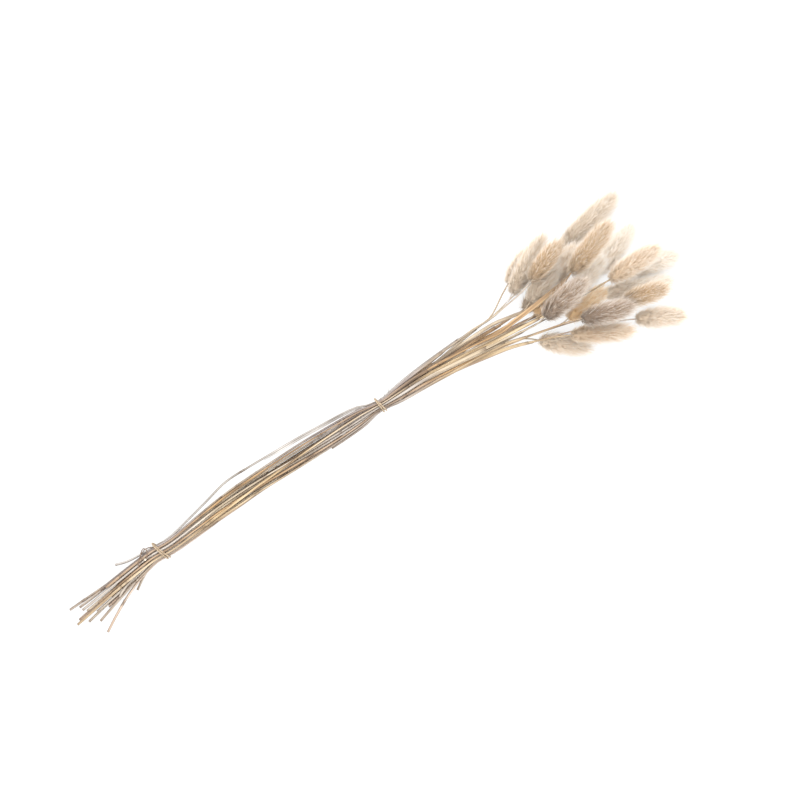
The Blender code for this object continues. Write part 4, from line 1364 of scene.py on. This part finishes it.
def twisted_strands(name: str, path: np.ndarray, closed: bool, strands: int, strand_r: float,
                    spread: float, turns: int) -> bpy.types.Object:
    """Twist strands round a path into one band or thread.

    Args:
        name: The piece's name.
        path: Points that the band follows.
        closed: Whether the path joins up.
        strands: How many strands.
        strand_r: Half thickness of one strand.
        spread: How far each strand lies from the path.
        turns: Whole turns of the twist along the path.

    Returns:
        The band as one mesh object.
    """
    count = len(path)
    ahead = np.roll(path, -1, axis=0) if closed else np.vstack([path[1:], 2 * path[-1] - path[-2]])
    behind = np.roll(path, 1, axis=0) if closed else np.vstack([2 * path[0] - path[1], path[:-1]])
    run = ahead - behind
    run /= np.linalg.norm(run, axis=1)[:, None]
    flat = np.cross(run, np.array([1.0, 0.13, 0.07]))
    flat /= np.linalg.norm(flat, axis=1)[:, None]
    rise = np.cross(run, flat)
    pieces = []
    for k in range(strands):
        turn = 2 * math.pi * (np.arange(count) * turns / count + k / strands)
        wound = path + spread * (np.cos(turn)[:, None] * flat + np.sin(turn)[:, None] * rise)
        curve = bpy.data.curves.new(f"{name}_strand", "CURVE")
        curve.dimensions = "3D"
        curve.bevel_depth = strand_r
        curve.bevel_resolution = 2
        curve.use_fill_caps = True
        spline = curve.splines.new("POLY")
        spline.points.add(count - 1)
        spline.use_cyclic_u = closed
        for point, place in zip(spline.points, wound):
            point.co = (*place, 1.0)
        strand = bpy.data.objects.new(f"{name}_strand", curve)
        bpy.context.scene.collection.objects.link(strand)
        activate(strand)
        bpy.ops.object.convert(target="MESH")
        pieces.append(bpy.context.object)
    piece = join(pieces, name)
    bpy.ops.object.mode_set(mode="EDIT")
    bpy.ops.mesh.select_all(action="SELECT")
    bpy.ops.mesh.remove_doubles(threshold=0.000002)
    bpy.ops.object.mode_set(mode="OBJECT")
    bpy.ops.object.shade_smooth_by_angle(angle=math.radians(60))
    return piece


@dataclass
class Ties:
    """The two raffia bands, each wound twice and crossed once at the side."""

    strand_r: float = 0.42 * MM
    spread: float = 0.28 * MM
    points: int = 220
    turns: int = 22
    band_r: float = 0.6 * MM
    lift: float = 1.5 * MM
    crossing_length: int = 6
    pair_spread: float = 1.25 * MM
    middle_half: tuple[float, float] = (6.67 * MM, 6.0166 * MM)
    lower_half: tuple[float, float] = (8.895 * MM, 7.9875 * MM)
    middle_slant: float = -0.2
    lower_slant: float = -0.36

    def centre(self, node: str, half: tuple[float, float]) -> np.ndarray:
        """Find the middle of a band's oval, leaving out the crossing that stands off its side.

        Args:
            node: The band's node.
            half: Half width and half height of the oval.

        Returns:
            The oval's middle.
        """
        low, high = (np.array(corner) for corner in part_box(node))
        return np.array([(low[0] + high[0]) / 2, low[1] + half[0] + self.band_r,
                         high[2] - half[1] - self.band_r])

    def band_path(self, node: str, half: tuple[float, float], slant: float) -> np.ndarray:
        """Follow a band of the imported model: twice round the stalks, crossed at one side.

        Args:
            node: The band's node.
            half: Half width and half height of the oval that it follows.
            slant: How far along the bunch it runs for each unit across.

        Returns:
            The points of its centre line.
        """
        turn = np.linspace(0, 4 * math.pi, self.points, endpoint=False)
        lift = self.lift * np.maximum(0, np.sin(turn / 2)) ** self.crossing_length
        y = (half[0] + lift) * np.cos(turn - math.pi)
        z = (half[1] + lift) * np.sin(turn - math.pi)
        x = self.pair_spread * np.cos(turn / 2) + slant * y
        return self.centre(node, half) + np.column_stack([x, y, z])

    def build(self) -> None:
        """Build both bands."""
        # Twisted raffia: dull straw-coloured bast, whose fibres catch the light in fine specks
        raffia = FibreFinish("twisted_raffia", "B8A58B", "665440").build()
        for name, node, half, slant in (
                ("band_middle", "tie_middle", self.middle_half, self.middle_slant),
                ("band_lower", "tie_lower", self.lower_half, self.lower_slant)):
            path = self.band_path(node, half, slant)
            band = twisted_strands(name, path, True, 3, self.strand_r, self.spread, self.turns)
            band.data.materials.append(raffia)
            points = points_of(band.data)
            points[:, 2] = np.maximum(points[:, 2], 0.0)
            set_points(band.data, points)
            seat(band, "band", node)


@dataclass
class StringLoop:
    """Thread beside the lower tie: a grey-brown loop with its pale wound knot."""

    thread_r: float = 0.27 * MM
    spread: float = 0.24 * MM
    points: int = 110
    turns: int = 18
    knot_r: float = 0.7 * MM
    knot_half: float = 0.9 * MM
    knot_turns: int = 3
    knot_points: int = 48
    arc_mm: tuple = ((-246.5, -9.0), (-251.0, -6.6), (-256.0, -6.2), (-261.0, -8.6),
                     (-265.0, -12.4), (-268.0, -17.5))
    arc_r: float = 0.52 * MM
    arc_least_height: float = 9.0 * MM
    arc_smoothing: int = 6
    arc_strand: tuple[float, float] = (0.6, 0.4)
    arc_turns: int = 8
    sectors: int = 14
    aim_reach: float = 3 * MM
    knot_swell: tuple[float, float] = (0.7, 0.3)
    knot_strand: float = 1.5

    def arc(self, stems: dict[str, Stem]) -> None:
        """Lay the loose end from the lower tie in an arc over the stalks.

        Args:
            stems: The stalks' stems, by node.
        """
        middle = Ties().centre("tie_middle", Ties.middle_half)
        marks = np.array(self.arc_mm) * MM + middle[:2]
        share = np.linspace(0, len(marks) - 1, self.points // 2)
        steps = np.arange(len(marks))
        path = np.column_stack([np.interp(share, steps, marks[:, k]) for k in (0, 1)])
        height = np.full(len(path), self.arc_least_height)
        for stem in stems.values():
            centre, _, across, up = stem.at(path[:, 0])
            over = abs(centre[:, 1] - path[:, 1]) < across + self.arc_r
            over &= (path[:, 0] > stem.xs[0]) & (path[:, 0] < stem.xs[-1])
            height = np.where(over, np.maximum(height, centre[:, 2] + up + self.arc_r), height)
        path = np.column_stack([path, height])
        for _ in range(self.arc_smoothing):
            path[1:-1] = (path[:-2] + 2 * path[1:-1] + path[2:]) / 4
        thick, apart = (self.arc_r * share for share in self.arc_strand)
        arc = twisted_strands("thread_end", path, False, 2, thick, apart, self.arc_turns)
        arc.data.materials.append(bpy.data.materials["weathered_thread"])
        seat(arc, "string")

    def build(self, nodes: dict[str, bpy.types.Object], stems: dict[str, Stem]) -> None:
        """Build the loop along its node, wind the knot round its foot and lay the loose end.

        Args:
            nodes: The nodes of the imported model.
            stems: The stalks' stems, by node.
        """
        points = points_of(nodes["string_loop"].data)
        middle = points.mean(axis=0)
        turn = np.arctan2(points[:, 1] - middle[1], points[:, 0] - middle[0])
        sectors = np.linspace(-math.pi, math.pi, self.sectors + 1)
        members = [(turn >= a) & (turn < b) for a, b in zip(sectors, sectors[1:])]
        ring = np.array([points[m].mean(axis=0) for m in members if m.any()])
        share = np.linspace(0, len(ring), self.points, endpoint=False)
        i = share.astype(int)
        t = (share - i)[:, None]
        a, b, c, d = (ring[(i + k) % len(ring)] for k in (-1, 0, 1, 2))
        path = 0.5 * (2 * b + (c - a) * t + (2 * a - 5 * b + 4 * c - d) * t ** 2
                      + (3 * b - a - 3 * c + d) * t ** 3)
        loop = twisted_strands("thread_loop", path, True, 2, self.thread_r, self.spread, self.turns)
        # Weathered thread: matt and grey-brown, as twine goes that was tied wet
        loop.data.materials.append(FibreFinish("weathered_thread", "86705E", "54443A").build())
        seat(loop, "string", "string_loop")
        foot = path[np.argmin(path[:, 1])]
        step = np.linspace(0, 1, self.knot_points)
        wind = 2 * math.pi * self.knot_turns * step
        away = np.linalg.norm(path - foot, axis=1)
        aim = path[np.argmin(abs(away - self.aim_reach))] - foot
        aim /= np.linalg.norm(aim)
        side = np.cross(aim, np.array([0.0, 0.0, 1.0]))
        side /= np.linalg.norm(side)
        rise = np.cross(side, aim)
        least, swell = self.knot_swell
        round_off = self.knot_r * (least + swell * np.sin(math.pi * step))
        coil = (foot + aim * ((2 * step - 1) * self.knot_half)[:, None]
                + side * (round_off * np.cos(wind))[:, None]
                + rise * (round_off * np.sin(wind))[:, None])
        thick = self.thread_r * self.knot_strand
        knot = twisted_strands("thread_knot", coil, False, 1, thick, 0.0, 0)
        # Cotton: soft and near white, where the knot kept the thread clean
        knot.data.materials.append(FibreFinish("pale_cotton", "DCD2C2", "A89A86").build())
        seat(knot, "string")
        self.arc(stems)


@dataclass
class Studio:
    """Plain pale floor, soft light all round and the camera that looks straight down."""

    distance: float = 2.2
    photo_mm_per_px: float = 0.92
    photo_px: int = 800
    roll_deg: float = -30.0
    tie_px: tuple[float, float] = (380.5, 405.5)
    sensor: float = 36.0
    world_level: float = 2.2
    key_watts: float = 12.0
    floor_glow: float = 0.8
    floor_size: float = 6.0
    floor_drop: float = 0.2 * MM
    lamp_size: float = 1.2
    lamp_place: tuple[float, float, float] = (0.7, 0.45, 1.3)

    def build(self) -> None:
        """Make the floor, the lights and the camera."""
        self.floor()
        self.lights()
        self.camera()

    def floor(self) -> None:
        """Lay the floor: matt white paper, just below the bunch."""
        deselect_all()
        bpy.ops.mesh.primitive_plane_add(size=self.floor_size, location=(0.0, 0.0, -self.floor_drop))
        floor = bpy.context.object
        floor.name = "floor"
        # Matt white paper lit through from below: no gloss, and no shadow darkens it
        material, tree, shader = new_material("matt_white_paper", 0.9)
        shader.inputs["Base Color"].default_value = linear("787878")
        shader.inputs["Specular IOR Level"].default_value = 0.0
        shader.inputs["Emission Color"].default_value = linear("FFFFFF")
        shader.inputs["Emission Strength"].default_value = self.floor_glow
        floor.data.materials.append(material)

    def lights(self) -> None:
        """Set the pale surroundings and one broad lamp, up and to the right of the photo."""
        world = bpy.data.worlds.new("studio")
        bpy.context.scene.world = world
        world.use_nodes = True
        shell = world.node_tree.nodes["Background"]
        shell.inputs["Color"].default_value = linear("FFFFFF")
        shell.inputs["Strength"].default_value = self.world_level
        lamp = bpy.data.lights.new("broad_lamp", "AREA")
        lamp.energy = self.key_watts
        lamp.size = self.lamp_size
        holder = bpy.data.objects.new("broad_lamp", lamp)
        holder.location = self.lamp_place
        holder.rotation_euler = Vector(holder.location).to_track_quat("Z", "Y").to_euler()
        bpy.context.scene.collection.objects.link(holder)
        bpy.context.scene.view_settings.view_transform = "Standard"

    def camera(self) -> None:
        """Hang the camera over the photo's middle, turned as the photo is."""
        tie = Vector(Ties().centre("tie_middle", Ties.middle_half))
        right = (self.photo_px / 2 - self.tie_px[0]) * self.photo_mm_per_px * MM
        upward = (self.tie_px[1] - self.photo_px / 2) * self.photo_mm_per_px * MM
        angle = math.radians(-self.roll_deg)
        x = tie.x + right * math.cos(angle) + upward * math.sin(angle)
        y = tie.y - right * math.sin(angle) + upward * math.cos(angle)
        lens = bpy.data.cameras.new("camera")
        lens.sensor_width = self.sensor
        width = self.photo_px * self.photo_mm_per_px * MM
        lens.lens = self.sensor * (self.distance - tie.z) / width
        eye = bpy.data.objects.new("camera", lens)
        eye.location = (x, y, self.distance)
        eye.rotation_euler = (0.0, 0.0, math.radians(self.roll_deg))
        bpy.context.scene.collection.objects.link(eye)
        bpy.context.scene.camera = eye


def main() -> None:
    """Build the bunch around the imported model."""
    logging.basicConfig(level=logging.INFO, format="%(name)s: %(message)s")
    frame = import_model()
    Studio().build()
    nodes = frame["nodes"]
    stems = Stalks().build(nodes)
    Ties().build()
    StringLoop().build(nodes, stems)
    FlowerHeads().build(nodes, stems)


if __name__ == "__main__":
    main()
